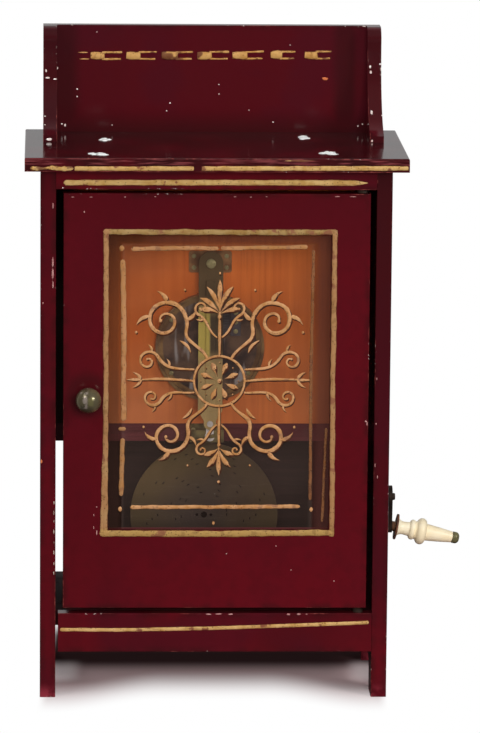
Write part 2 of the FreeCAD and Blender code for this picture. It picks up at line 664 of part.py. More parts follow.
def make_knob():
    """The ball knob, its rose, its spindle and the latch tongue inside."""
    centre = V(KNOB_X, 0, KNOB_HEIGHT)
    save("knob_rose", tube(ROSE_RADIUS, KNOB_SPINDLE_RADIUS + RUN_CLEAR, centre, FRONT, ROSE_THICK))
    neck_start = ROSE_THICK + FACE_CLEAR
    ball_at = neck_start + KNOB_NECK_LENGTH + math.sqrt(KNOB_RADIUS ** 2 - KNOB_NECK_RADIUS ** 2)
    ball = Part.makeSphere(KNOB_RADIUS, centre + FRONT * ball_at)
    neck = rod(KNOB_NECK_RADIUS, centre + FRONT * neck_start, FRONT, ball_at - neck_start)
    foot = rod(KNOB_FOOT_RADIUS, centre + FRONT * neck_start, FRONT, KNOB_FOOT_LENGTH)
    spindle_front = ball_at - KNOB_BORE_PAST_CENTRE
    tail = TONGUE_Y + TONGUE_THICK + TONGUE_SPINDLE_END
    spindle = rod(KNOB_SPINDLE_RADIUS, centre + FRONT * spindle_front, Y_AXIS, spindle_front + tail)
    save("door_knob", ball.fuse(neck).fuse(foot).cut(spindle))
    save("knob_spindle", spindle)
    half = TONGUE_WIDTH / 2
    shank = block(KNOB_X - half, KNOB_X + half, TONGUE_Y, TONGUE_Y + TONGUE_THICK,
                  KNOB_HEIGHT - TONGUE_REACH + half, KNOB_HEIGHT)
    eye = rod(TONGUE_EYE_RADIUS, V(KNOB_X, TONGUE_Y, KNOB_HEIGHT), Y_AXIS, TONGUE_THICK)
    tip = rod(half, V(KNOB_X, TONGUE_Y, KNOB_HEIGHT - TONGUE_REACH + half), Y_AXIS, TONGUE_THICK)
    save("latch_tongue", shank.fuse(eye).fuse(tip).cut(spindle))


# Movement
def make_bedplate():
    """The round bedplate with its raised rim and comb seat, and what is screwed to it."""
    centre = V(MOVEMENT_X, BEDPLATE_Y, MOVEMENT_Z)
    plate = rod(BEDPLATE_RADIUS, centre, Y_AXIS, BEDPLATE_THICK)
    rim = tube(BEDPLATE_RADIUS, BEDPLATE_RADIUS - BEDPLATE_RIM_WIDTH, centre, FRONT, BEDPLATE_RIM_HEIGHT)
    comb_left = MOVEMENT_X + STAR_RADIUS + COMB_CLEAR + TOOTH_LENGTH
    comb_right = comb_left + COMB_BASE_WIDTH
    low = NOTE_START_Z - TOOTH_WIDTH / 2 - COMB_BASE_MARGIN
    high = NOTE_END_Z + TOOTH_WIDTH / 2 + COMB_BASE_MARGIN
    comb_front = STAR_Y - TOOTH_THICK / 2 - (COMB_BASE_THICK - TOOTH_THICK) / 2
    comb_back = comb_front + COMB_BASE_THICK
    seat = block(comb_left, comb_right, comb_back, BEDPLATE_Y, low, high)
    bush_hole = rod(SPINDLE_BUSH_RADIUS, centre + FRONT * 1, Y_AXIS, BEDPLATE_THICK + 2)
    body = plate.fuse(rim).fuse(seat).cut(bush_hole)

    bolts = []
    for turn in BEDPLATE_SCREW_TURNS:
        angle = math.radians(turn)
        beside_comb = turn == BEDPLATE_SCREW_TURNS[0]
        inset = COMB_SIDE_SCREW_INSET if beside_comb else BEDPLATE_SCREW_INSET
        offset = BEDPLATE_RADIUS - BEDPLATE_RIM_WIDTH - inset
        place = centre + V(offset * math.cos(angle), 0, offset * math.sin(angle))
        bolts.append(small_screw(place, Y_AXIS))
    for index in range(COMB_SCREW_COUNT):
        z = low + (high - low) * (index + 0.5) / COMB_SCREW_COUNT
        place = V((comb_left + comb_right) / 2, comb_front, z)
        bolts.append(small_screw(place, Y_AXIS))
    save("bedplate", cut_all(body, bolts))
    pieces["soundboard"] = cut_all(pieces["soundboard"], bolts)

    base = block(comb_left, comb_right, comb_front, comb_back, low, high)
    base = rounded(base, COMB_EDGE_ROUND,
                   lambda edge: at_plane(edge, Y_AXIS, comb_front) and runs_along(edge, Z_AXIS))
    teeth = []
    for index in range(NOTE_COUNT):
        z = NOTE_START_Z + index * NOTE_PITCH
        teeth.append(block(comb_left - TOOTH_LENGTH, comb_left + 1,
                           STAR_Y - TOOTH_THICK / 2, STAR_Y + TOOTH_THICK / 2,
                           z - TOOTH_WIDTH / 2, z + TOOTH_WIDTH / 2))
    save("comb", cut_all(base.multiFuse(teeth), bolts))
    return bolts


def star_outline(z):
    """The pointed outline of one star wheel at a height."""
    points = []
    for index in range(2 * STAR_POINTS):
        angle = math.pi * index / STAR_POINTS
        radius = STAR_ROOT_RADIUS if index % 2 else STAR_RADIUS
        points.append(V(MOVEMENT_X + radius * math.cos(angle), STAR_Y + radius * math.sin(angle), z))
    return points


def make_star_wheels():
    """The star wheels on their axle, and the two posts that carry it."""
    post_low = NOTE_START_Z - STAR_THICK / 2 - STAR_POST_CLEAR - STAR_POST_THICK
    post_high = NOTE_END_Z + STAR_THICK / 2 + STAR_POST_CLEAR
    axle_start = post_low - STAR_POST_THICK / 2
    axle_length = post_high + STAR_POST_THICK * 1.5 - axle_start
    axle = rod(STAR_AXLE_RADIUS, V(MOVEMENT_X, STAR_Y, axle_start), Z_AXIS, axle_length)
    save("star_axle", axle)
    wheels = []
    for index in range(NOTE_COUNT):
        z = NOTE_START_Z + index * NOTE_PITCH - STAR_THICK / 2
        wheels.append(prism(star_outline(z), STAR_THICK, Z_AXIS).cut(axle))
    save("star_wheels", Part.makeCompound(wheels))
    bore = rod(STAR_AXLE_RADIUS + RUN_CLEAR, V(MOVEMENT_X, STAR_Y, axle_start - 1), Z_AXIS, axle_length + 2)
    posts = []
    half = STAR_POST_WIDTH / 2
    for z in (post_low, post_high):
        post = block(MOVEMENT_X - half, MOVEMENT_X + half, STAR_Y - half / 2, BEDPLATE_Y,
                     z, z + STAR_POST_THICK)
        posts.append(post.cut(bore))
    save("star_posts", Part.makeCompound(posts))


def make_spindle():
    """The centre spindle that turns the disc, its collar with two pegs, and its bush."""
    tip = V(MOVEMENT_X, SPINDLE_TIP_Y, MOVEMENT_Z)
    bridge_back = SOUND_BACK + spindle_room() + BRIDGE_THICK
    length = bridge_back - SPINDLE_TIP_Y + SPINDLE_TAIL
    outline = [(0, 0), (0, SPINDLE_TIP_RADIUS), (SPINDLE_TIP_LENGTH, SPINDLE_RADIUS),
               (length, SPINDLE_RADIUS), (length, 0)]
    spindle = turned(outline, tip, Y_AXIS)
    save("centre_spindle", spindle)
    collar_front = V(MOVEMENT_X, DISC_PLANE_Y, MOVEMENT_Z)
    collar = rod(COLLAR_RADIUS, collar_front, Y_AXIS, COLLAR_THICK)
    hub_length = BEDPLATE_Y - SPINDLE_BUSH_FRONT - FACE_CLEAR - DISC_PLANE_Y
    collar = collar.fuse(rod(COLLAR_HUB_RADIUS, collar_front, Y_AXIS, hub_length))
    for side in (-1, 1):
        place = V(MOVEMENT_X + side * DRIVE_PEG_OFFSET, DISC_PLANE_Y - DRIVE_PEG_LENGTH, MOVEMENT_Z)
        collar = collar.fuse(rod(DRIVE_PEG_RADIUS, place, Y_AXIS, DRIVE_PEG_LENGTH + COLLAR_THICK / 2))
    save("drive_collar", collar.cut(spindle))
    bush_start = V(MOVEMENT_X, BEDPLATE_Y - SPINDLE_BUSH_FRONT, MOVEMENT_Z)
    bush_length = SPINDLE_BUSH_FRONT + BEDPLATE_THICK + SOUNDBOARD_THICK + SPINDLE_BUSH_TAIL
    bush = tube(SPINDLE_BUSH_RADIUS, SPINDLE_RADIUS + RUN_CLEAR, bush_start, Y_AXIS, bush_length)
    save("spindle_bush", bush)


def spindle_room():
    """Depth behind the soundboard that the worm wheel and its bridge take."""
    return CRANK_BEHIND_SOUNDBOARD + WHEEL_THICK / 2 + WHEEL_HUB_LENGTH + HUB_END_CLEAR


# Pressure bar
def make_bar():
    """The pressure bar with its ridge, rollers, pivot bracket and keeper; returns their screws."""
    pivot = V(MOVEMENT_X, BAR_FRONT_Y, BAR_PIVOT_Z)
    half = BAR_WIDTH / 2
    end_half = BAR_END_WIDTH / 2
    taper_low = CATCH_Z + end_half / 2
    taper_high = taper_low + BAR_TAPER_LENGTH
    left_edge = [(-half, BAR_PIVOT_Z), (-half, taper_high), (-end_half, taper_low), (-end_half, CATCH_Z)]
    right_edge = [(-across, z) for across, z in reversed(left_edge)]
    outline = [V(MOVEMENT_X + across, BAR_FRONT_Y, z) for across, z in left_edge + right_edge]
    bar = prism(outline, BAR_THICK, Y_AXIS)
    bar = bar.fuse(rod(half, pivot, Y_AXIS, BAR_THICK))
    bar = bar.fuse(rod(end_half, V(MOVEMENT_X, BAR_FRONT_Y, CATCH_Z), Y_AXIS, BAR_THICK))
    ridge_half = BAR_RIDGE_WIDTH / 2
    ridge_top = BAR_PIVOT_Z - half - ridge_half
    ridge = block(MOVEMENT_X - ridge_half, MOVEMENT_X + ridge_half, BAR_FRONT_Y - BAR_RIDGE_HEIGHT,
                  BAR_FRONT_Y + BAR_THICK / 2, taper_high + ridge_half, ridge_top)
    ridge = rounded(ridge, BAR_RIDGE_ROUND,
                    lambda edge: at_plane(edge, Y_AXIS, BAR_FRONT_Y - BAR_RIDGE_HEIGHT))
    bar = bar.fuse(ridge)

    roller_low = NOTE_START_Z - NOTE_PITCH / 2
    roller_high = NOTE_END_Z + NOTE_PITCH / 2
    lug_low = roller_low - ROLLER_GAP / 2 - LUG_THICK
    lug_high = roller_high + ROLLER_GAP / 2
    lug_half = LUG_WIDTH / 2
    lug_back = ROLLER_Y + LUG_PAST_ROLLER
    for z in (lug_low, lug_high):
        bar = bar.fuse(block(MOVEMENT_X - lug_half, MOVEMENT_X + lug_half, BAR_BACK_Y - BAR_THICK / 2,
                             lug_back, z, z + LUG_THICK))
    axle_start = lug_low - LUG_THICK / 2
    axle = rod(ROLLER_AXLE_RADIUS, V(MOVEMENT_X, ROLLER_Y, axle_start), Z_AXIS,
               lug_high + 1.5 * LUG_THICK - axle_start)
    save("roller_axle", axle)
    pitch = (roller_high - roller_low) / ROLLER_COUNT
    rollers = []
    for index in range(ROLLER_COUNT):
        start = V(MOVEMENT_X, ROLLER_Y, roller_low + index * pitch + ROLLER_GAP / 2)
        rollers.append(tube(ROLLER_RADIUS, ROLLER_AXLE_RADIUS + RUN_CLEAR, start, Z_AXIS, pitch - ROLLER_GAP))
    save("pressure_rollers", Part.makeCompound(rollers))

    pivot_hole = rod(BAR_PIVOT_RADIUS + RUN_CLEAR, pivot - Y_AXIS, Y_AXIS, BAR_THICK + 2)
    catch_hole = rod(CATCH_PIVOT_RADIUS + RUN_CLEAR, V(MOVEMENT_X, BAR_FRONT_Y - 1, CATCH_Z), Y_AXIS,
                     BAR_THICK + 2)
    save("pressure_bar", cut_all(bar, [axle, pivot_hole, catch_hole]))

    plate_y = SOUND_FRONT - BRACKET_THICK
    plate_z = BAR_PIVOT_Z - BRACKET_DROP
    plate = block(MOVEMENT_X - BRACKET_WIDTH / 2, MOVEMENT_X + BRACKET_WIDTH / 2, plate_y, SOUND_FRONT,
                  plate_z - BRACKET_HEIGHT / 2, plate_z + BRACKET_HEIGHT / 2)
    plate = rounded(plate, BRACKET_CORNER, lambda edge: runs_along(edge, Y_AXIS))
    boss_front = BAR_BACK_Y + FACE_CLEAR
    boss = rod(BRACKET_BOSS_RADIUS, V(MOVEMENT_X, boss_front, BAR_PIVOT_Z), Y_AXIS, plate_y - boss_front)
    shank_length = BAR_THICK + 2 * FACE_CLEAR + PIVOT_SCREW_IN_BOSS
    head_y = BAR_FRONT_Y - FACE_CLEAR
    pin = screw(V(MOVEMENT_X, head_y, BAR_PIVOT_Z), Y_AXIS, PIVOT_HEAD_RADIUS, BAR_PIVOT_RADIUS, shank_length)
    save("bar_pivot_screw", pin)
    fixings = []
    for side_x in (-1, 1):
        for side_z in (-1, 1):
            place = V(MOVEMENT_X + side_x * (BRACKET_WIDTH / 2 - BRACKET_SCREW_INSET), plate_y,
                      plate_z + side_z * (BRACKET_HEIGHT / 2 - BRACKET_SCREW_INSET))
            fixings.append(small_screw(place, Y_AXIS))
    save("bar_bracket", cut_all(plate.fuse(boss), fixings + [pin]))
    fixings += make_keeper()
    pieces["soundboard"] = cut_all(pieces["soundboard"], fixings)
    pieces["shelf"] = cut_all(pieces["shelf"], fixings)
    return fixings


def make_keeper():
    """The brass keeper on the front edge of the shelf, with the stud that the catch hooks."""
    left = MOVEMENT_X - KEEPER_LEFT
    right = MOVEMENT_X + KEEPER_RIGHT
    low = SHELF_TOP - KEEPER_BELOW_SHELF_TOP
    lip_y = CATCH_Y + CATCH_THICK + KEEPER_LIP_CLEAR
    lip_top = SHELF_TOP - KEEPER_LIP_BELOW_SHELF_TOP
    base_front = SOUND_FRONT - KEEPER_THICK
    base = block(left, right, base_front, SOUND_FRONT, low, SHELF_TOP)
    ledge = block(left, right, lip_y, SOUND_FRONT, low, low + KEEPER_THICK)
    lip = block(left, right, lip_y, lip_y + KEEPER_THICK, low, lip_top)
    stud = rod(STUD_RADIUS, V(STUD_X, CATCH_Y - CATCH_STANDOFF / 2, STUD_Z), Y_AXIS,
               lip_y + KEEPER_THICK / 2 - CATCH_Y + CATCH_STANDOFF / 2)
    fixings = []
    for x in (left + BRACKET_SCREW_INSET, right - BRACKET_SCREW_INSET):
        place = V(x, base_front, low + KEEPER_SCREW_RISE)
        fixings.append(small_screw(place, Y_AXIS))
    save("catch_keeper", cut_all(base.fuse(ledge).fuse(lip).fuse(stud), fixings))
    return fixings


def make_catch():
    """The small steel hook at the bar's lower end, pivoted on its own rivet."""
    pivot = V(MOVEMENT_X, CATCH_Y, CATCH_Z)
    eye = rod(CATCH_HEAD_RADIUS, pivot, Y_AXIS, CATCH_THICK)
    hook_centre = V(MOVEMENT_X, CATCH_Y, CATCH_Z - STUD_REACH)
    hook = rod(CATCH_HEAD_RADIUS, hook_centre, Y_AXIS, CATCH_THICK)
    shank = block(MOVEMENT_X - CATCH_WIDTH / 2, MOVEMENT_X + CATCH_WIDTH / 2,
                  CATCH_Y, CATCH_Y + CATCH_THICK, CATCH_Z - STUD_REACH, CATCH_Z)
    gap = STUD_RADIUS + STUD_CLEAR
    ring = tube(STUD_REACH + gap, STUD_REACH - gap, pivot - Y_AXIS, Y_AXIS, CATCH_THICK + 2)
    sector = ring.common(block(MOVEMENT_X, MOVEMENT_X + 2 * STUD_REACH, CATCH_Y - CATCH_THICK,
                               CATCH_Y + 2 * CATCH_THICK, CATCH_Z - 2 * STUD_REACH, CATCH_Z))
    seat = rod(gap, hook_centre - Y_AXIS, Y_AXIS, CATCH_THICK + 2)
    plate = cut_all(eye.fuse(hook).fuse(shank), [sector, seat])
    rivet_front = V(MOVEMENT_X, BAR_FRONT_Y - FACE_CLEAR - RIVET_HEAD_THICK, CATCH_Z)
    rivet = rod(CATCH_PIVOT_RADIUS, rivet_front, Y_AXIS, CATCH_Y + CATCH_THICK - rivet_front.y)
    head = rod(RIVET_HEAD_RADIUS, rivet_front, Y_AXIS, RIVET_HEAD_THICK)
    save("bar_catch", plate.fuse(rivet).fuse(head))


# Stored disc
def make_disc():
    """One tune disc standing in its grooved rack in the lower compartment."""
    rack = block(DISC_X - RACK_LENGTH / 2, DISC_X + RACK_LENGTH / 2,
                 DISC_Y - RACK_DEPTH / 2, DISC_Y + RACK_DEPTH / 2, PLINTH_TOP, PLINTH_TOP + RACK_HEIGHT)
    groove = block(DISC_X - RACK_LENGTH, DISC_X + RACK_LENGTH,
                   DISC_Y - RACK_GROOVE / 2, DISC_Y + RACK_GROOVE / 2,
                   PLINTH_TOP + RACK_FLOOR, PLINTH_TOP + RACK_HEIGHT + 1)
    save("disc_rack", rack.cut(groove))
    front = DISC_Y - DISC_THICK / 2
    centre = V(DISC_X, front, DISC_Z)
    disc = rod(DISC_RADIUS, centre, Y_AXIS, DISC_THICK)
    cuts = [rod(SPINDLE_RADIUS + RUN_CLEAR, centre - Y_AXIS, Y_AXIS, DISC_THICK + 2)]
    for side in (-1, 1):
        place = centre + V(side * DRIVE_PEG_OFFSET, -1, 0)
        cuts.append(rod(DRIVE_PEG_RADIUS + PEG_HOLE_CLEAR, place, Y_AXIS, DISC_THICK + 2))
    for track in range(NOTE_TRACKS):
        radius = NOTE_TRACK_START + track * NOTE_TRACK_STEP
        for index in range(NOTES_PER_TRACK):
            step = (index * NOTE_SCATTER_STRIDE + track * NOTE_SCATTER_TURN) % NOTE_SCATTER_STEPS
            angle = 360.0 * index / NOTES_PER_TRACK + NOTE_TRACK_TWIST * track + NOTE_SCATTER * step
            slot = Part.makeBox(NOTE_SLOT_WIDTH, DISC_THICK + 2, NOTE_SLOT_LENGTH,
                                V(radius - NOTE_SLOT_WIDTH / 2, -1, -NOTE_SLOT_LENGTH / 2))
            slot.rotate(V(0, 0, 0), Y_AXIS, angle)
            slot.translate(centre)
            cuts.append(slot)
    save("stored_disc", cut_all(disc, cuts))


# Crank
def make_crank():
    """The crank arm, its shaft, nut, bush and the loose turned handle on its pin."""
    axis_start = V(INNER_X - CRANK_BRACKET_REACH - PLATE_THICK, CRANK_Y, CRANK_HEIGHT)
    shaft_end = ARM_FACE_X + SHAFT_IN_NUT
    shaft = rod(CRANK_SHAFT_RADIUS, axis_start, X_AXIS, shaft_end - axis_start.x)
    save("crank_shaft", shaft)
    hub = V(ARM_X, CRANK_Y, CRANK_HEIGHT)
    foot = V(ARM_X, CRANK_Y, PIN_Z)
    edge = math.sqrt(CRANK_RADIUS ** 2 - (ARM_HUB_RADIUS - ARM_BOSS_RADIUS) ** 2)
    lean = (ARM_HUB_RADIUS - ARM_BOSS_RADIUS) / CRANK_RADIUS
    flat = edge / CRANK_RADIUS
    outline = [hub + V(0, side * ARM_HUB_RADIUS * flat, -ARM_HUB_RADIUS * lean) for side in (-1, 1)]
    outline += [foot + V(0, side * ARM_BOSS_RADIUS * flat, -ARM_BOSS_RADIUS * lean) for side in (1, -1)]
    arm = prism(outline, ARM_THICK, X_AXIS)
    arm = arm.fuse(rod(ARM_HUB_RADIUS, hub, X_AXIS, ARM_THICK))
    arm = arm.fuse(rod(ARM_BOSS_RADIUS, foot, X_AXIS, ARM_THICK))
    arm = arm.removeSplitter()

    inside = PIN_BASE - PIN_DIRECTION * ARM_THICK
    handle_start = HANDLE_PIN_SHOULDER + HANDLE_GAP
    total = handle_start + HANDLE_FLANGE_THICK + HANDLE_LENGTH + HANDLE_GAP
    pin = rod(HANDLE_PIN_RADIUS, inside, PIN_DIRECTION, total + ARM_THICK + HANDLE_CAP_LENGTH / 2)
    shoulder = rod(HANDLE_PIN_SHOULDER_RADIUS, PIN_BASE - PIN_DIRECTION, PIN_DIRECTION,
                   HANDLE_PIN_SHOULDER + 1)
    keep = block(ARM_FACE_X, ARM_FACE_X + 4 * HANDLE_PIN_SHOULDER, CRANK_Y - ARM_HUB_RADIUS,
                 CRANK_Y + ARM_HUB_RADIUS, PIN_Z - ARM_HUB_RADIUS, PIN_Z + ARM_HUB_RADIUS)
    cap = placed(Part.makeCylinder(HANDLE_CAP_RADIUS, HANDLE_CAP_LENGTH), PIN_BASE + PIN_DIRECTION * total,
                 PIN_DIRECTION)
    far = PIN_BASE + PIN_DIRECTION * (total + HANDLE_CAP_LENGTH)
    cap = rounded(cap, HANDLE_CAP_ROUND, lambda edge: (edge.CenterOfMass - far).Length < TOUCHING)
    pin = pin.fuse(shoulder.common(keep)).fuse(cap)
    save("handle_pin", pin)
    save("crank_arm", cut_all(arm, [pin, shaft]))

    nut = rod(CRANK_NUT_RADIUS, V(ARM_FACE_X, CRANK_Y, CRANK_HEIGHT), X_AXIS, CRANK_NUT_THICK)
    nut = rounded(nut, CRANK_NUT_ROUND,
                  lambda edge: abs(edge.CenterOfMass.x - ARM_FACE_X - CRANK_NUT_THICK) < TOUCHING)
    save("crank_nut", nut.cut(shaft))

    flange_start = V(SIDE_X, CRANK_Y, CRANK_HEIGHT)
    bush = rod(CRANK_BUSH_RADIUS, V(INNER_X, CRANK_Y, CRANK_HEIGHT), X_AXIS, SIDE_THICK)
    bush = bush.fuse(rod(CRANK_BUSH_FLANGE_RADIUS, flange_start, X_AXIS, CRANK_BUSH_FLANGE_THICK))
    bore = rod(CRANK_SHAFT_RADIUS + RUN_CLEAR, V(INNER_X - 1, CRANK_Y, CRANK_HEIGHT), X_AXIS, SIDE_THICK + 4)
    save("crank_bush", bush.cut(bore))
    make_handle(handle_start)


def make_handle(start_at):
    """The turned handle: a brown flange, then neck, two beads and a tapered grip."""
    flange_base = PIN_BASE + PIN_DIRECTION * start_at
    bore = HANDLE_PIN_RADIUS + RUN_CLEAR
    save("handle_flange", tube(HANDLE_FLANGE_RADIUS, bore, flange_base, PIN_DIRECTION, HANDLE_FLANGE_THICK))

    def p(along, radius):
        return V(radius, 0, along)

    def line(start, end):
        return Part.LineSegment(start, end).toShape()

    bore_front = p(0, bore)
    base_rim = p(0, HANDLE_BASE_RADIUS)
    neck = p(HANDLE_NECK_AT, HANDLE_NECK_RADIUS)
    bead_start = p(HANDLE_BEAD_AT - HANDLE_BEAD_HALF, HANDLE_NECK_END_RADIUS)
    bead_end = p(HANDLE_BEAD_AT + HANDLE_BEAD_HALF, HANDLE_BEAD_END_RADIUS)
    belly_start = p(HANDLE_BELLY_AT - HANDLE_BELLY_HALF, HANDLE_BELLY_START_RADIUS)
    belly_end = p(HANDLE_BELLY_AT + HANDLE_BELLY_HALF, HANDLE_BELLY_END_RADIUS)
    grip_start = p(HANDLE_GRIP_START, HANDLE_GRIP_START_RADIUS)
    grip_end = p(HANDLE_LENGTH, HANDLE_END_RADIUS)
    bore_end = p(HANDLE_LENGTH, bore)
    edges = [line(bore_front, base_rim),
             Part.Arc(base_rim, p(HANDLE_COVE_AT, HANDLE_COVE_RADIUS), neck).toShape(),
             line(neck, bead_start),
             Part.Arc(bead_start, p(HANDLE_BEAD_AT, HANDLE_BEAD_RADIUS), bead_end).toShape(),
             line(bead_end, belly_start),
             Part.Arc(belly_start, p(HANDLE_BELLY_AT, HANDLE_BELLY_RADIUS), belly_end).toShape(),
             line(belly_end, grip_start),
             Part.Arc(grip_start, p(HANDLE_GRIP_MID_AT, HANDLE_GRIP_MID_RADIUS), grip_end).toShape(),
             line(grip_end, bore_end),
             line(bore_end, bore_front)]
    solid = Part.Face(Part.Wire(edges)).revolve(V(0, 0, 0), Z_AXIS, 360)
    base = flange_base + PIN_DIRECTION * HANDLE_FLANGE_THICK
    save("crank_handle", placed(solid, base, PIN_DIRECTION))


# Drive train
def pulley(radius, centre, bore_tool):
    """A grooved pulley on an X axis, cut for its belt and its shaft."""
    outer = radius + PULLEY_LIP
    start = V(centre.x - PULLEY_WIDTH / 2, centre.y, centre.z)
    wheel = rod(outer, start, X_AXIS, PULLEY_WIDTH)
    groove = Part.makeTorus(radius, BELT_RADIUS + GROOVE_CLEAR, centre, X_AXIS)
    mouth = tube(outer + 1, radius, V(centre.x - BELT_RADIUS - GROOVE_CLEAR, centre.y, centre.z), X_AXIS,
                 2 * (BELT_RADIUS + GROOVE_CLEAR))
    return cut_all(wheel, [groove, mouth, bore_tool])


def make_drive():
    """The belt, pulleys, worm and wheel that carry the crank's turning to the spindle."""
    crank_centre = V(PULLEY_X, CRANK_Y, CRANK_HEIGHT)
    worm_centre = V(PULLEY_X, CRANK_Y, WORM_Z)
    save("crank_pulley", pulley(CRANK_PULLEY_RADIUS, crank_centre, pieces["crank_shaft"]))
    worm_left = MOVEMENT_X - WORM_SHAFT_LEFT
    worm_right = PULLEY_X + PULLEY_WIDTH / 2 + WORM_SHAFT_RIGHT_END
    plain = rod(WORM_SHAFT_RADIUS, V(worm_left, CRANK_Y, WORM_Z), X_AXIS, worm_right - worm_left)
    save("worm_pulley", pulley(WORM_PULLEY_RADIUS, worm_centre, plain))
    save("worm_shaft", plain.fuse(worm_thread()))
    save("drive_belt", belt(crank_centre, worm_centre))
    save("worm_wheel", worm_wheel())


def worm_thread():
    """The worm: a core with a right-hand trapezoid thread wound round it."""
    length = WORM_TURNS * WORM_LEAD
    start_x = MOVEMENT_X - length / 2
    core_margin = WORM_LEAD * WORM_CORE_MARGIN
    core = rod(WORM_ROOT_RADIUS, V(start_x - core_margin, CRANK_Y, WORM_Z), X_AXIS, length + 2 * core_margin)
    helix = Part.makeHelix(WORM_LEAD, length, WORM_RADIUS)
    buried = WORM_ROOT_RADIUS - THREAD_BURIED
    base = WORM_THREAD_BASE / 2
    crest = WORM_THREAD_CREST / 2
    profile = Part.makePolygon([V(buried, 0, -base), V(WORM_CREST_RADIUS, 0, -crest),
                                V(WORM_CREST_RADIUS, 0, crest), V(buried, 0, base), V(buried, 0, -base)])
    thread = Part.Wire(helix.Edges).makePipeShell([profile], True, True)
    # Started as many half turns round as it has turns, so that a groove faces the wheel's lowest tooth
    thread.rotate(V(0, 0, 0), Z_AXIS, -180 * WORM_TURNS)
    thread.rotate(V(0, 0, 0), Y_AXIS, 90)
    thread.translate(V(start_x, CRANK_Y, WORM_Z))
    return core.fuse(thread)


def worm_wheel():
    """The brass wheel with a tooth standing in the worm's groove, on a long hub."""
    centre = V(MOVEMENT_X, CRANK_Y - WHEEL_THICK / 2, MOVEMENT_Z)
    root = WHEEL_RADIUS - WHEEL_DEDENDUM
    foot = root - WHEEL_TOOTH_BURIED
    wheel = rod(root, centre, Y_AXIS, WHEEL_THICK)
    tip = WHEEL_RADIUS + WHEEL_ADDENDUM
    base = WHEEL_TOOTH_BASE / 2
    crown = WHEEL_TOOTH_TIP / 2
    teeth = []
    for index in range(WHEEL_TEETH):
        tooth = prism([V(-base, 0, -foot), V(-crown, 0, -tip), V(crown, 0, -tip), V(base, 0, -foot)],
                      WHEEL_THICK, Y_AXIS)
        tooth.rotate(V(0, 0, 0), Y_AXIS, 360.0 * index / WHEEL_TEETH)
        tooth.translate(centre)
        teeth.append(tooth)
    hub = rod(WHEEL_HUB_RADIUS, centre + Y_AXIS * WHEEL_THICK, Y_AXIS, WHEEL_HUB_LENGTH)
    return wheel.multiFuse(teeth).fuse(hub).removeSplitter().cut(pieces["centre_spindle"])


def belt(lower, upper):
    """The round belt, tangent to both pulleys."""
    span = upper.z - lower.z
    lean = math.asin((CRANK_PULLEY_RADIUS - WORM_PULLEY_RADIUS) / span)

    def on(centre, radius, angle):
        return V(centre.x, centre.y + radius * math.cos(angle), centre.z + radius * math.sin(angle))

    low_right = on(lower, CRANK_PULLEY_RADIUS, lean)
    low_left = on(lower, CRANK_PULLEY_RADIUS, math.pi - lean)
    low_mid = on(lower, CRANK_PULLEY_RADIUS, -math.pi / 2)
    high_right = on(upper, WORM_PULLEY_RADIUS, lean)
    high_left = on(upper, WORM_PULLEY_RADIUS, math.pi - lean)
    high_mid = on(upper, WORM_PULLEY_RADIUS, math.pi / 2)
    path = Part.Wire([Part.LineSegment(low_right, high_right).toShape(),
                      Part.Arc(high_right, high_mid, high_left).toShape(),
                      Part.LineSegment(high_left, low_left).toShape(),
                      Part.Arc(low_left, low_mid, low_right).toShape()])
    along = high_right.sub(low_right)
    section = Part.Wire([Part.makeCircle(BELT_RADIUS, low_right, along)])
    return path.makePipeShell([section], True, True)


def shaft_bracket(x, z, shaft_radius):
    """An angle bracket on the back of the soundboard, with a bearing hole for a shaft along X."""
    half = SHAFT_BRACKET_WIDTH / 2
    reach = CRANK_Y + SHAFT_BRACKET_EDGE
    upright = block(x, x + PLATE_THICK, SOUND_BACK, reach, z - half, z + half)
    foot = block(x, x + SHAFT_BRACKET_FOOT, SOUND_BACK, SOUND_BACK + PLATE_THICK, z - half, z + half)
    bore = rod(shaft_radius + RUN_CLEAR, V(x - 1, CRANK_Y, z), X_AXIS, PLATE_THICK + 2)
    place = V(x + SHAFT_BRACKET_SCREW_AT, SOUND_BACK + PLATE_THICK, z)
    fixing = small_screw(place, FRONT)
    return upright.fuse(foot).cut(bore), fixing


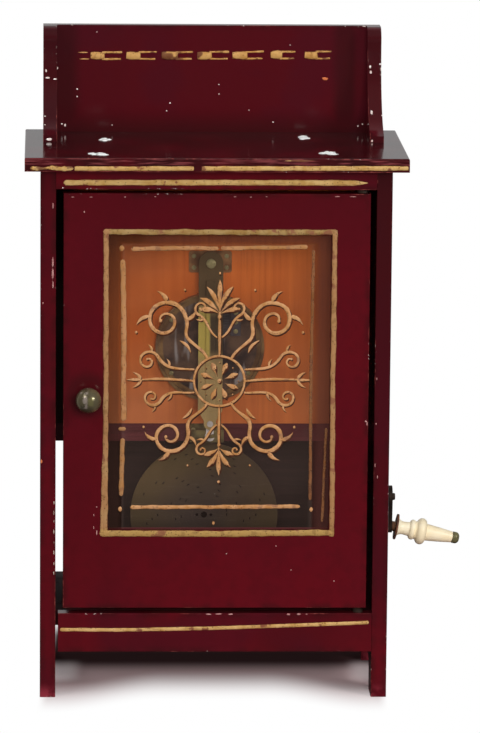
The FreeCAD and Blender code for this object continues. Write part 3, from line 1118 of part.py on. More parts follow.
def make_brackets():
    """The bridge over the worm wheel and the brackets that carry both shafts."""
    fixings = []
    left_x = MOVEMENT_X - WORM_SHAFT_LEFT + WORM_SHAFT_RIGHT_END
    left, fixing = shaft_bracket(left_x, WORM_Z, WORM_SHAFT_RADIUS)
    fixings.append(fixing)
    right_x = PULLEY_X - PULLEY_WIDTH / 2 - PLATE_THICK - SHAFT_BRACKET_FOOT
    right, fixing = shaft_bracket(right_x, WORM_Z, WORM_SHAFT_RADIUS)
    fixings.append(fixing)

    half = BRIDGE_WIDTH / 2
    low = WORM_Z - SHAFT_BRACKET_WIDTH / 2 - BRIDGE_THICK
    high = MOVEMENT_Z + BRIDGE_REACH
    front = SOUND_BACK + spindle_room()
    bridge = block(MOVEMENT_X - half, MOVEMENT_X + half, front, front + BRIDGE_THICK,
                   low - BRIDGE_THICK, high + BRIDGE_THICK)
    for z, way in ((low - BRIDGE_THICK, -1), (high, 1)):
        bridge = bridge.fuse(block(MOVEMENT_X - half, MOVEMENT_X + half, SOUND_BACK, front + BRIDGE_THICK,
                                   z, z + BRIDGE_THICK))
        foot_low = min(z, z + way * SHAFT_BRACKET_FOOT) + (BRIDGE_THICK if way > 0 else 0)
        bridge = bridge.fuse(block(MOVEMENT_X - half, MOVEMENT_X + half,
                                   SOUND_BACK, SOUND_BACK + BRIDGE_THICK,
                                   foot_low, foot_low + SHAFT_BRACKET_FOOT))
        place = V(MOVEMENT_X, SOUND_BACK + BRIDGE_THICK, foot_low + SHAFT_BRACKET_FOOT / 2)
        fixings.append(small_screw(place, FRONT))
    bore = rod(SPINDLE_RADIUS + RUN_CLEAR, V(MOVEMENT_X, front - 1, MOVEMENT_Z), Y_AXIS, BRIDGE_THICK + 2)
    save("wheel_bridge", cut_all(bridge, [bore] + fixings))

    inner = INNER_X - CRANK_BRACKET_REACH
    width = CRANK_BRACKET_WIDTH / 2
    low = CRANK_HEIGHT - width
    high = CRANK_HEIGHT + width
    crank_bracket = block(inner - PLATE_THICK, inner, CRANK_Y - CRANK_BRACKET_HALF - PLATE_THICK,
                          CRANK_Y + CRANK_BRACKET_HALF + PLATE_THICK, low, high)
    side_fixings = []
    for way in (-1, 1):
        near = CRANK_Y + way * CRANK_BRACKET_HALF
        far = near + way * PLATE_THICK
        leg = block(inner - PLATE_THICK, INNER_X, min(near, far), max(near, far), low, high)
        toe = far - way * (PLATE_THICK + CRANK_BRACKET_FOOT)
        tab = block(INNER_X - PLATE_THICK, INNER_X, min(toe, far), max(toe, far), low, high)
        crank_bracket = crank_bracket.fuse(leg).fuse(tab)
        place = V(INNER_X - PLATE_THICK, (toe + near) / 2, CRANK_HEIGHT)
        side_fixings.append(small_screw(place, X_AXIS))
    bore = rod(CRANK_SHAFT_RADIUS + RUN_CLEAR, V(inner - PLATE_THICK - 1, CRANK_Y, CRANK_HEIGHT), X_AXIS,
               PLATE_THICK + 2)
    save("crank_bracket", cut_all(crank_bracket, [bore] + side_fixings))
    save("shaft_brackets", cut_all(Part.makeCompound([left, right]), fixings))
    save("bracket_screws", Part.makeCompound(fixings + side_fixings))
    pieces["soundboard"] = cut_all(pieces["soundboard"], fixings)
    pieces["right_side"] = cut_all(pieces["right_side"], side_fixings)


def outer_box():
    """The box round all pieces."""
    box = FreeCAD.BoundBox()
    for shape in pieces.values():
        box.add(shape.optimalBoundingBox(False, False))
    return box


def main():
    make_case()
    make_door()
    make_knob()
    brass_screws = make_bedplate()
    make_star_wheels()
    make_spindle()
    brass_screws += make_bar()
    save("movement_screws", Part.makeCompound(brass_screws))
    make_catch()
    make_disc()
    make_crank()
    make_drive()
    make_brackets()
    box = outer_box()
    shift = V(-(box.XMin + box.XMax) / 2, -(box.YMin + box.YMax) / 2, -box.ZMin)
    os.makedirs("parts", exist_ok=True)
    for name, shape in pieces.items():
        moved = shape.copy()
        moved.translate(shift)
        moved.exportStep(os.path.join("parts", name + ".step"))
    print("origin shift", round(shift.x, 4), round(shift.y, 4), round(shift.z, 4))
    print("catch turns", round(CATCH_ANGLE, 3), "degrees to its stud")
    print("worm turns per crank turn", BELT_RATIO, "and spindle", BELT_RATIO * WHEEL_RATIO)


main()
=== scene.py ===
"""Looks of the hand-cranked disc musical box: finishes, gilding, painted glass, wear and stage.

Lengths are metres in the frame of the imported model: X to the right, Y to the rear, Z up. What is
painted or chipped is placed in millimetres: across from the case's middle, up from the floor.
"""

import math
import random

import bmesh
import bpy
from bpy.props import FloatProperty, FloatVectorProperty, PointerProperty
from mathutils import Matrix, Vector, noise
from mathutils.geometry import interpolate_bezier


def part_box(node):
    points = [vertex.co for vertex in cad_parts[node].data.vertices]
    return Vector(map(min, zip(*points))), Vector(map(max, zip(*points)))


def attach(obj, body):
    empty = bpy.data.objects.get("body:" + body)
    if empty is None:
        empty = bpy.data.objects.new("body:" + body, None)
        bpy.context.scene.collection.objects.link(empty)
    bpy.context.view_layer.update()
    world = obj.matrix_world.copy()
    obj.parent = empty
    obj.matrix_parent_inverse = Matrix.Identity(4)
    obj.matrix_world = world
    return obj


bl_info = {
    "name": "Disc Musical Box Dressing",
    "version": (1, 0, 0),
    "blender": (4, 5, 0),
    "location": "View3D > Sidebar > Musical Box",
    "description": "Gives the packed disc musical box its lacquer, gilding, glass painting and stage",
    "category": "Object",
}

MM = 0.001

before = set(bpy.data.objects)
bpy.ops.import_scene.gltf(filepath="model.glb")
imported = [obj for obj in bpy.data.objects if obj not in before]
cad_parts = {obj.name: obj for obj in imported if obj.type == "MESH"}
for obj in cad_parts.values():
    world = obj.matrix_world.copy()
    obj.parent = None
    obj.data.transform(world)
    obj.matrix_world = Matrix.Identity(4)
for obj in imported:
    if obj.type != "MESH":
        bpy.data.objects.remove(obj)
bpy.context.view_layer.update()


def edge(node, axis, side):
    """Where a node's box ends: axis 0, 1 or 2, side 0 for its low end and 1 for its high end."""
    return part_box(node)[side][axis]


# Places read from the frame
WINDOW_LEFT = edge("door_left_stile", 0, 1)
WINDOW_RIGHT = edge("door_right_stile", 0, 0)
WINDOW_LOW = edge("door_bottom_rail", 2, 1)
WINDOW_HIGH = edge("door_top_rail", 2, 0)
CASE_MIDDLE = (edge("left_side", 0, 0) + edge("right_side", 0, 1)) / 2
CASE_HALF_WIDTH = (edge("right_side", 0, 1) - edge("left_side", 0, 0)) / 2
CASE_REAR = edge("left_side", 1, 1)
DOOR_FACE = edge("door_bottom_rail", 1, 0)
GLASS_FACE = edge("door_glass", 1, 0)
TOP_FRONT = edge("top_board", 1, 0)
TOP_FACE = edge("top_board", 2, 1)
GALLERY_FACE = edge("gallery_back", 1, 0)
GALLERY_TOP = edge("gallery_back", 2, 1)

DOOR_BOARDS = ("door_left_stile", "door_right_stile", "door_top_rail", "door_bottom_rail")
GALLERY_SIDES = ("gallery_left_side", "gallery_right_side")
CASE_BOARDS = ("top_board", "left_side", "right_side", "header_rail", "plinth_rail", "gallery_back")
# Faces that lie against another board, where no edge can wear: axis and side of the board's box
SEAMS = {"left_side": ((2, 1),), "right_side": ((2, 1),), "header_rail": ((0, 0), (0, 1), (2, 1)),
         "plinth_rail": ((0, 0), (0, 1)), "gallery_back": ((0, 0), (0, 1), (2, 0)),
         "gallery_left_side": ((2, 0),), "gallery_right_side": ((2, 0),)}
OUT_OF_REACH = 0.1

# Body and slot of what is painted on the case, on the door and on its glass
ON_CASE = ("cabinet", "red_lacquer")
ON_DOOR = ("door", "red_lacquer")
ON_GLASS = ("door", "clear_glass")

ORIGIN = (0.0, 0.0, 0.0)
EVEN = (1.0, 1.0, 1.0)
DABBED = (240.0, 240.0, 240.0)
DRAWN_ALONG = (55.0, 55.0, 620.0)
HANDLE_TURN = (0.0, math.radians(10.7), 0.0)
# The camera's aim: from the case's middle, from the door's face and from the floor
AIM_ACROSS = 21.5 * MM
AIM_BACK = 70 * MM
AIM_UP = 248.2 * MM
# Millimetres of height that the ornament is drawn in, and the share of its drawn widths that it keeps
ORNAMENT_DRAWN = 160.0
ORNAMENT_LINE = 0.74


# Settings that a user would change
def colour_setting(name, description, default):
    """A linear colour."""
    return FloatVectorProperty(name=name, description=description, subtype="COLOR", size=3,
                               min=0.0, max=1.0, default=default)


def length_setting(name, description, default):
    """A length in metres."""
    return FloatProperty(name=name, description=description, unit="LENGTH", min=0.0, default=default)


def share_setting(name, description, default):
    """A share from 0 to 1."""
    return FloatProperty(name=name, description=description, subtype="FACTOR", min=0.0, max=1.0,
                         default=default)


def angle_setting(name, description, degrees):
    """An angle, given in degrees."""
    return FloatProperty(name=name, description=description, unit="ROTATION", default=math.radians(degrees))


def power_setting(place, watts):
    """Power of one lamp."""
    return FloatProperty(name=place.capitalize(), description="Power of the %s lamp in watts" % place,
                         default=watts)


class CaseSettings(bpy.types.PropertyGroup):
    """Lacquer and woods of the cabinet."""
    lacquer_red: colour_setting("Lacquer red", "Clear parts of the burgundy lacquer", (0.098, 0.0034, 0.0074))
    lacquer_dark: colour_setting("Lacquer dark", "Darkened parts of the lacquer", (0.062, 0.0034, 0.0064))
    chip: colour_setting("Chip", "Pale ground that shows where lacquer is chipped", (0.56, 0.44, 0.40))
    rubbed_and_lit: colour_setting("Rubbed", "Pink-brown of edges that are rubbed thin", (0.30, 0.062, 0.050))
    stain: colour_setting("Inner stain", "Matt stain on the shelf and rack", (0.125, 0.024, 0.028))
    soundboard: colour_setting("Soundboard", "Orange wood behind the movement", (0.64, 0.150, 0.028))
    softwood: colour_setting("Softwood", "Stained softwood of the back", (0.021, 0.0115, 0.0108))
    wear: share_setting("Wear", "How far edges are chipped and rubbed", 0.5)


class GiltSettings(bpy.types.PropertyGroup):
    """Gold paint on the case and the glass."""
    gold: colour_setting("Gold", "Gold paint on wood", (0.62, 0.395, 0.150))
    glass_gold: colour_setting("Gold on glass", "Thin gold paint on the glass", (0.60, 0.310, 0.135))
    shade: colour_setting("Shade", "Brown shading beside the gold on the glass", (0.085, 0.028, 0.014))
    window_width: length_setting("Window line", "Width of the line round the door's window", 4.4 * MM)
    border_width: length_setting("Border line", "Width of the border line on the glass", 2.9 * MM)
    ornament_height: length_setting("Ornament", "Height of the gilt ornament on the glass", 160 * MM)
    relief: share_setting("Relief", "Height of a painted line as a share of half its width", 0.26)


class GlassSettings(bpy.types.PropertyGroup):
    """Pane of the door."""
    tint: colour_setting("Haze", "Colour of the film of dust and age on the pane", (0.34, 0.23, 0.19))
    haze: share_setting("Haze density", "How much of the view the film hides", 0.025)


class MetalSettings(bpy.types.PropertyGroup):
    """Metals, bone and leather."""
    brass: colour_setting("Brass", "Aged brass where it is handled", (0.36, 0.27, 0.11))
    patina: colour_setting("Patina", "Dark olive patina on brass", (0.110, 0.078, 0.036))
    steel: colour_setting("Steel", "Bright steel of catch and stars", (0.92, 0.80, 0.72))
    browned: colour_setting("Browned steel", "Browned steel of crank and brackets", (0.070, 0.045, 0.033))
    disc: colour_setting("Disc", "Patina of the tune disc", (0.102, 0.068, 0.037))
    bone: colour_setting("Bone", "Turned bone of the handle", (1.0, 0.90, 0.67))
    leather: colour_setting("Leather", "Belt and fibre flange", (0.085, 0.036, 0.022))


class StageSettings(bpy.types.PropertyGroup):
    """Camera, lamps and floor."""
    distance: length_setting("Distance", "From the camera to its aim", 4.0)
    azimuth: angle_setting("Azimuth", "Camera's turn round the box", -2.212)
    elevation: angle_setting("Elevation", "Camera's height as an angle", 10.232)
    roll: angle_setting("Roll", "Camera's lean to its right", 0.477)
    lens: FloatProperty(name="Lens", description="Focal length for a 36 mm sensor, in mm", default=251.37)
    front: power_setting("front", 33.5)
    right: power_setting("right", 12.5)
    left: power_setting("left", 7.0)
    top: power_setting("overhead", 8.0)
    rear: power_setting("rear", 16.0)
    fill: share_setting("Fill", "Light that comes from all round", 0.05)


class MusicalBoxSettings(bpy.types.PropertyGroup):
    """All settings of the dressing."""
    case: PointerProperty(type=CaseSettings, name="Case", description="Lacquer and woods")
    gilt: PointerProperty(type=GiltSettings, name="Gilding", description="Gold paint")
    glass: PointerProperty(type=GlassSettings, name="Glass", description="Pane of the door")
    metal: PointerProperty(type=MetalSettings, name="Metal", description="Metals, bone and leather")
    stage: PointerProperty(type=StageSettings, name="Stage", description="Camera, lamps and floor")


def settings():
    """This scene's settings."""
    return bpy.context.scene.musical_box


# Shader maths
def sum_of(operation, swapped=False):
    """A method that joins a wire and another value in one Math node."""
    def method(self, other):
        values = (other, self) if swapped else (self, other)
        return self.finish.maths(operation, *values)
    return method


class Wire:
    """A shader socket that can be used in sums: each operator adds one Math node."""
    __add__ = __radd__ = sum_of("ADD")
    __sub__ = sum_of("SUBTRACT")
    __rsub__ = sum_of("SUBTRACT", swapped=True)
    __mul__ = __rmul__ = sum_of("MULTIPLY")
    __truediv__ = sum_of("DIVIDE")
    __pow__ = sum_of("POWER")
    least = sum_of("MINIMUM")
    most = sum_of("MAXIMUM")

    def __init__(self, finish, socket):
        self.finish = finish
        self.socket = socket

    def absolute(self):
        """The value without its sign."""
        return self.finish.maths("ABSOLUTE", self)

    def rising(self, low, high):
        """0 at low, 1 at high, smooth between."""
        return self.finish.node("ShaderNodeMapRange", {"interpolation_type": "SMOOTHSTEP"},
                                {"Value": self, "From Min": low, "From Max": high})

    def falling(self, low, high):
        """1 at low, 0 at high, smooth between."""
        return 1 - self.rising(low, high)

    def band(self, start, full, fading, end):
        """0 up to start, 1 from full to fading, 0 from end on."""
        return self.rising(start, full) * self.falling(fading, end)


class Finish:
    """One material, or the world, built node by node: a ground colour with coats laid over it."""

    def __init__(self, name, ground=None, world=None):
        self.material = world or bpy.data.materials.new(name)
        self.material.use_nodes = True
        self.tree = self.material.node_tree
        self.tree.nodes.clear()
        self.place = self.node("ShaderNodeTexCoord", output="Generated" if world else "Object")
        self.ground = ground
        self.colour = ground

    def node(self, kind, choices=None, values=None, output=0):
        """A node with its choices set first, then the values or wires of its sockets."""
        made = self.tree.nodes.new(kind)
        for name, choice in (choices or {}).items():
            setattr(made, name, choice)
        for name, value in (values or {}).items():
            if isinstance(value, Wire):
                self.tree.links.new(value.socket, made.inputs[name])
            else:
                made.inputs[name].default_value = value
        return None if output is None else Wire(self, made.outputs[output])

    def maths(self, operation, *values):
        """One Math node."""
        return self.node("ShaderNodeMath", {"operation": operation}, dict(enumerate(values)))

    def axes(self, vector=None):
        """The place on the object, or another vector, as three wires."""
        split = self.node("ShaderNodeSeparateXYZ", values={"Vector": vector or self.place})
        return [Wire(self, output) for output in split.socket.node.outputs]

    def facing(self, axis):
        """How far the surface faces along an axis, from -1 to 1."""
        return self.axes(self.node("ShaderNodeTexCoord", output="Normal"))[axis]

    def around(self, middle):
        """Across and up from a middle, and the distance from it, seen from the front."""
        x, y, z = self.axes()
        across, up = x - middle.x, z - middle.z
        return across, up, (across * across + up * up) ** 0.5

    def stretched(self, scale, at=ORIGIN, turn=ORIGIN):
        """The place with each axis scaled, after a turn and a shift."""
        return self.node("ShaderNodeMapping", {"vector_type": "POINT"},
                         {"Vector": self.place, "Location": at, "Rotation": turn, "Scale": scale})

    def noise(self, scale, detail=2.0, at=None, vector=None, distortion=0.0):
        """Smooth noise from 0 to 1; a place to read it at makes it unlike other noise of its scale."""
        if at:
            vector = self.stretched(EVEN, at)
        return self.node("ShaderNodeTexNoise", values={
            "Vector": vector or self.place, "Scale": scale, "Detail": detail, "Distortion": distortion})

    def grain(self, scale, detail=3.0, turn=ORIGIN, distortion=0.0):
        """Noise with its own scale along each axis."""
        return self.noise(1.0, detail, vector=self.stretched(scale, turn=turn), distortion=distortion)

    def clouds(self, scale, low, high, detail=3.0):
        """Patches of noise, 0 below low and 1 above high."""
        return self.noise(scale, detail).rising(low, high)

    def cells(self, scale, output="Distance"):
        """Distance to the nearest of scattered points, or another output."""
        return self.node("ShaderNodeTexVoronoi", values={"Vector": self.place, "Scale": scale}, output=output)

    def specks(self, scale, size, share):
        """Round specks: scattered at a scale, of a size in cell widths, in a share of the cells."""
        near = self.cells(scale).falling(size * 0.6, size)
        pick = self.node("ShaderNodeSeparateColor", values={"Color": self.cells(scale, "Color")})
        return near * pick.falling(share, share + 0.01)

    def seen(self):
        """1 where the camera looks, straight or through glass."""
        through = self.node("ShaderNodeLightPath", output="Is Transmission Ray")
        return self.node("ShaderNodeLightPath", output="Is Camera Ray").most(through)

    def mirrored(self):
        """1 for what gloss and metal reflect."""
        return self.node("ShaderNodeLightPath", output="Is Glossy Ray")

    def colours(self, share, first, second):
        """Two colours mixed by a share."""
        first, second = (value if isinstance(value, Wire) else (*value, 1.0) for value in (first, second))
        return self.node("ShaderNodeMix", {"data_type": "RGBA"}, {0: share, 6: first, 7: second}, 2)

    def lay(self, share, coat):
        """Lays a coat over the colour so far."""
        self.colour = self.colours(share, self.colour, coat)

    def fade(self, share, *parts):
        """Lays a coat of the ground colour with its red, green and blue times the parts."""
        self.lay(share, [ground * part for ground, part in zip(self.ground, parts)])

    def bump(self, height, depth, strength):
        """A normal from a height that goes from 0 to 1 over a depth in millimetres."""
        return self.node("ShaderNodeBump", values={
            "Height": height, "Distance": depth * MM, "Strength": strength})

    def output(self, shader):
        """Joins the last shader to the output."""
        kind = "World" if isinstance(self.material, bpy.types.World) else "Material"
        self.node("ShaderNodeOutput" + kind, values={"Surface": shader}, output=None)

    def surface(self, height=None, depth=0.03, strength=0.5, **values):
        """The Principled shader over the colour, with bumps where a height is given, and the output."""
        names = {key.replace("_", " ").title().replace("Ior", "IOR"): value for key, value in values.items()}
        names["Base Color"] = self.colour
        if height:
            names["Normal"] = self.bump(height, depth, strength)
        self.output(self.node("ShaderNodeBsdfPrincipled", values=names))
        return self.material


def shade(names, material):
    """Gives CAD nodes, named in one text, a material in their own slots."""
    for name in names.split():
        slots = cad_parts[name].data.materials
        slots.clear()
        slots.append(material)


def round_node(node):
    """Middle and radius of a round node."""
    low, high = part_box(node)
    return (low + high) / 2, (high.x - low.x) / 2


# Woods
def wear_box(node):
    """The box whose edges wear, with every seam moved out of reach; the door's boards share one."""
    boxes = [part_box(name) for name in (DOOR_BOARDS if node in DOOR_BOARDS else (node,))]
    low = [min(box[0][axis] for box in boxes) for axis in range(3)]
    high = [max(box[1][axis] for box in boxes) for axis in range(3)]
    for axis, side in SEAMS.get(node, ()):
        if side:
            high[axis] += OUT_OF_REACH
        else:
            low[axis] -= OUT_OF_REACH
    return low, high


def edge_distance(finish, node):
    """How far a point on a board's surface lies from the nearest edge that can wear."""
    low, high = wear_box(node)
    x, y, z = [(place - low[axis]).least(high[axis] - place) for axis, place in enumerate(finish.axes())]
    straight = x.least(y).most(x.most(y).least(z))
    if node not in GALLERY_SIDES:
        return straight
    flat = finish.facing(0).absolute().rising(0.45, 0.55)
    return straight * flat + x * (1 - flat)


def darkening(finish, node):
    """Share of dark lacquer on a board: broad clouds and brush marks, with painted reflection and shade on
    the door, darker toward the top on the sides, and dark all over the gallery's back.
    """
    x, y, z = finish.axes()
    broad = finish.noise(5.0, vector=finish.stretched((1.0, 1.0, 0.55), (0.31, 0.17, 0.05)))
    streaks = finish.grain((38.0, 38.0, 2.2))
    dark = (broad * 0.85 + streaks * 0.15).rising(0.36, 0.62)
    # Painted reflection and shade on the door: darker to the left and near the top, lighter near the bottom.
    if node in DOOR_BOARDS:
        to_right = x.rising(WINDOW_LEFT - 40 * MM, WINDOW_RIGHT + 30 * MM)
        dark = dark * (1 - to_right * 0.85) + (1 - to_right) * 0.35
        return dark.most(z.rising(300 * MM, 390 * MM) * 0.65) - z.falling(90 * MM, 150 * MM) * 0.4
    if node == "gallery_back":
        return dark.most(0.85)
    if node in ("left_side", "right_side"):
        return dark.most(z.rising(80 * MM, TOP_FACE) * 0.9)
    return dark


def grime_and_shade(finish, node, near_edge):
    """Share of dirt and painted shade on a board: dirt along its edges and in clouds on the top board, darker
    toward the top of the right side, painted shadow near the ends of the gallery's back and darker toward its
    foot, painted shade on the front faces of the gallery's sides, and on the door a painted shadow of the
    knob with dirt from handling.
    """
    x, y, z = finish.axes()
    share = near_edge.falling(0.0, 6 * MM) * finish.clouds(60.0, 0.35, 0.65, 2.0) * 0.5
    if node == "top_board":
        return share.most(finish.clouds(30.0, 0.20, 0.60) * 0.84)
    if node == "right_side":
        return share.most(z.rising(150 * MM, TOP_FACE) * 0.60)
    # Painted shadow near both ends of the gallery's back, where its sides shade it; darker toward its foot.
    if node == "gallery_back":
        across = x - CASE_MIDDLE
        half = edge("gallery_back", 0, 1) - CASE_MIDDLE
        at_right = across.band(half - 30 * MM, half - 20 * MM, half - 12 * MM, half - 6 * MM)
        share = share.most(across.falling(10 * MM - half, 22 * MM - half) * 0.50).most(at_right * 0.50)
        return share.most(z.falling(TOP_FACE, TOP_FACE + 22 * MM) * 0.60)
    # Painted shade on the faces of the gallery's sides that face the front.
    if node in GALLERY_SIDES:
        front = finish.facing(1).falling(-0.7, -0.3)
        return share.most(front * (0.62 if node == "gallery_right_side" else 0.50))
    # Painted shadow of the knob round it, with dirt from handling.
    if node in DOOR_BOARDS:
        above_knob = round_node("door_knob")[0] + Vector((0, 0, 1 * MM))
        from_knob = finish.around(above_knob)[2]
        return share.most(from_knob.falling(12 * MM, 23 * MM) * 0.50)
    return share


def lacquer(node):
    """Burgundy lacquer of one board: darkening, dirt, painted reflection and shade, brush marks, edges worn
    thin and chipped.
    """
    case = settings().case
    finish = Finish("lacquer_" + node, case.lacquer_red)
    x, y, z = finish.axes()
    near_edge = edge_distance(finish, node)
    finish.lay(darkening(finish, node), case.lacquer_dark)
    finish.lay(finish.clouds(120.0, 0.40, 0.70, 4.0) * 0.35, (0.066, 0.0034, 0.0060))
    cool = finish.noise(17.0, 3.0, (0.2, 0.6, 0.1)).rising(0.44, 0.60)
    finish.lay(cool * (0.10 if node in DOOR_BOARDS else 0.35), (0.048, 0.0044, 0.0100))
    finish.lay(grime_and_shade(finish, node, near_edge), (0.020, 0.0044, 0.0046))
    ragged, reach, patch_low, patch_high = 2.2, 0.6, 0.56, 0.66
    if node == "top_board":
        ragged, reach, patch_low, patch_high = 2.5, 0.9, 0.46, 0.60
        # Painted reflection of the gallery's dark back: the top board darker toward the gallery.
        finish.lay(y.rising(GALLERY_FACE - 70 * MM, GALLERY_FACE - 8 * MM) * 0.8, (0.040, 0.0082, 0.0090))
        # Brighter crimson streaks on the front face just over the gold line.
        over_line = z.rising(TOP_FACE - 5.6 * MM, TOP_FACE - 4.4 * MM)
        over_line = over_line * y.falling(TOP_FRONT + 0.4 * MM, TOP_FRONT + 0.8 * MM)
        bright_streaks = over_line * finish.grain((60.0, 60.0, 700.0)).rising(0.46, 0.70)
        finish.lay(bright_streaks * 0.65, (0.24, 0.054, 0.058))

    rub = (near_edge + (0.5 - finish.noise(260.0, 4.0)) * ragged * MM).falling(0.0, reach * MM)
    patches = finish.clouds(30.0, patch_low - 0.1 * case.wear, patch_high, 2.0)
    foot = z.falling(1 * MM, 12 * MM) * finish.clouds(90.0, 0.36, 0.56)
    finish.lay(foot * 0.75, (0.26, 0.030, 0.046))
    rubbed_and_lit = rub * patches * (0.8 * case.wear + 0.2)
    finish.lay(rubbed_and_lit, case.rubbed_and_lit)
    places = finish.noise(23.0, 1.0, (0.7, 0.2, 0.4)).rising(0.58, 0.66)
    chips = finish.clouds(420.0, 0.62, 0.65, 2.0) * near_edge.falling(0.4 * MM, 1.1 * MM) * places
    bare = chips.most(finish.specks(60.0, 0.028, 0.05 * case.wear))
    finish.lay(bare, case.chip)

    brush = finish.grain((700.0, 700.0, 24.0), 2.0)
    height = finish.noise(500.0) * 0.5 + brush * 0.3 - bare * 1.5 - rubbed_and_lit * 0.4
    smudge = finish.clouds(22.0, 0.30, 0.75)
    roughness = 0.10 + smudge * 0.05 + rubbed_and_lit * 0.30 + bare * 0.4
    return finish.surface(height, roughness=roughness, specular_ior_level=0.40)


def soundboard():
    """Orange wood with upright grain: paler and pinker toward the bottom, where the pane's haze is painted
    in, darker at its upper left, and painted shade toward its sides.
    """
    finish = Finish("soundboard_wood", settings().case.soundboard)
    x, y, z = finish.axes()
    low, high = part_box("soundboard")
    fine = finish.grain((900.0, 900.0, 16.0))
    bands = finish.grain((150.0, 150.0, 3.5), 4.0, distortion=0.6)
    finish.fade(bands.rising(0.34, 0.66) * 0.6, 0.78, 0.66, 0.62)
    finish.fade(fine.rising(0.52, 0.70) * 0.25, 0.5, 0.40, 0.40)
    finish.fade(finish.clouds(16.0, 0.5, 0.75, 2.0) * 0.35, 0.72, 0.52, 0.55)
    # Paler and pinker toward the bottom: the haze of the pane painted into the wood.
    below = z.falling(low.z + 10 * MM, low.z + 85 * MM) * finish.clouds(9.0, 0.25, 0.60, 2.0)
    finish.fade(below * 0.45, 0.95, 1.45, 3.2)
    left_top = x.falling(low.x + 50 * MM, low.x + 115 * MM) * z.rising(low.z + 55 * MM, low.z + 115 * MM)
    finish.fade(left_top * 0.9, 0.66, 0.62, 0.70)
    # Painted shade toward the sides of the board.
    from_side = (x - low.x).least(high.x - x)
    finish.lay(from_side.falling(9 * MM, 24 * MM), (0.008, 0.003, 0.002))
    return finish.surface(fine, 0.08, roughness=0.58 + fine * 0.15, specular_ior_level=0.12)


def stained_wood(name, colour):
    """Matt stained wood with its grain along X, and painted shade near the case's sides."""
    finish = Finish(name, colour)
    bands = finish.grain((4.0, 90.0, 90.0), 4.0, distortion=1.2)
    pores = finish.grain((30.0, 900.0, 900.0))
    dust = finish.clouds(45.0, 0.52, 0.75)
    from_side = CASE_HALF_WIDTH - (finish.axes()[0] - CASE_MIDDLE).absolute()
    finish.fade(bands.rising(0.35, 0.65) * 0.6, 0.45, 0.4, 0.4)
    finish.fade(pores.rising(0.55, 0.7) * 0.5, 0.3, 0.28, 0.28)
    finish.lay(dust * 0.06, (0.30, 0.24, 0.20))
    # Painted shade near the case's sides.
    finish.lay(from_side.falling(16 * MM, 24 * MM) * 0.85, (0.012, 0.004, 0.005))
    return finish.surface(pores - bands * 0.4, 0.12, 0.6, roughness=0.62 + dust * 0.2,
                          specular_ior_level=0.15)


def back_wood():
    """Softwood of the back: wide flat-sawn figure, stain that took unevenly, browner outer faces."""
    finish = Finish("back_wood", settings().case.softwood)
    figure = finish.node("ShaderNodeTexWave", {"wave_type": "BANDS", "bands_direction": "Z"},
                         {"Vector": finish.stretched((0.35, 1.0, 1.0)), "Scale": 34.0, "Distortion": 7.0,
                          "Detail": 3.0, "Detail Scale": 0.7}, output="Fac")
    pores = finish.grain((24.0, 800.0, 800.0))
    bands = figure.rising(0.2, 0.9)
    marks = pores.rising(0.5, 0.7) * 0.6
    blotch = finish.clouds(11.0, 0.35, 0.7)
    finish.fade(bands, 1.3, 1.25, 1.2)
    finish.fade(marks, 0.5, 0.5, 0.5)
    finish.fade(blotch * 0.4, 0.62, 0.5, 0.5)
    outer = finish.colours(bands, (0.185, 0.088, 0.044), (0.120, 0.052, 0.026))
    outer = finish.colours(marks, outer, (0.070, 0.030, 0.017))
    outer = finish.colours(blotch * 0.35, outer, (0.090, 0.040, 0.022))
    finish.lay(finish.facing(1).rising(0.4, 0.6), outer)
    return finish.surface(pores + figure * 0.3, 0.15, 0.6, roughness=0.66, specular_ior_level=0.15)


# Metals
def aged_metal(name, bright, dull, polish=0.32, spread=0.5, spots=0.25, metallic=1.0):
    """Metal with a patina that lies in clouds, small dark spots and fine rubbing marks."""
    finish = Finish(name, bright)
    patina = finish.clouds(70.0, spread - 0.16, spread + 0.14, 4.0)
    pits = finish.specks(900.0, 0.22, spots)
    rubs = finish.grain((140.0, 700.0, 700.0), 2.0, turn=(0.4, 0.7, 0.2))
    finish.lay(patina, dull)
    finish.lay(pits * 0.7, [part * 0.3 for part in dull])
    roughness = polish + patina * 0.20 + rubs * 0.10 + pits * 0.2
    return finish.surface(rubs * 0.5 - pits, metallic=metallic, roughness=roughness)


def bar_metal():
    """Pressure bar: dark toward its top, a painted highlight in yellow-green on the left half of its middle
    and painted shade on the right half, olive-grey below.
    """
    red, green, blue = settings().metal.brass
    finish = Finish("bar_brass", (red * 1.75, green * 1.55, blue * 1.50))
    low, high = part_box("pressure_bar")
    middle = (low.x + high.x) / 2
    x, y, z = finish.axes()
    up = (z - low.z) / (high.z - low.z)
    mottle = finish.noise(60.0, 4.0, vector=finish.stretched((1.0, 1.0, 0.5))).rising(0.34, 0.66)
    finish.lay(mottle * 0.4, (red * 0.6, green * 0.5, blue * 0.6))
    # Painted highlight on the left half of the bar's middle band, painted shade on its right half.
    left_half = x.falling(middle - 1.5 * MM, middle + 0.5 * MM)
    rubbed_and_lit = up.band(0.36, 0.46, 0.62, 0.72)
    finish.lay(rubbed_and_lit * left_half * 0.8, (0.66, 0.50, 0.090))
    finish.lay(rubbed_and_lit * (1 - left_half) * 0.95, (0.056, 0.038, 0.021))
    finish.lay(up.rising(0.66, 0.76) * 0.92, (0.082, 0.046, 0.020))
    pits = finish.specks(700.0, 0.22, 0.3)
    finish.lay(pits * 0.6, (0.05, 0.03, 0.02))
    return finish.surface(mottle * 0.5 - pits, 0.04, metallic=0.35, roughness=0.42 + mottle * 0.15)


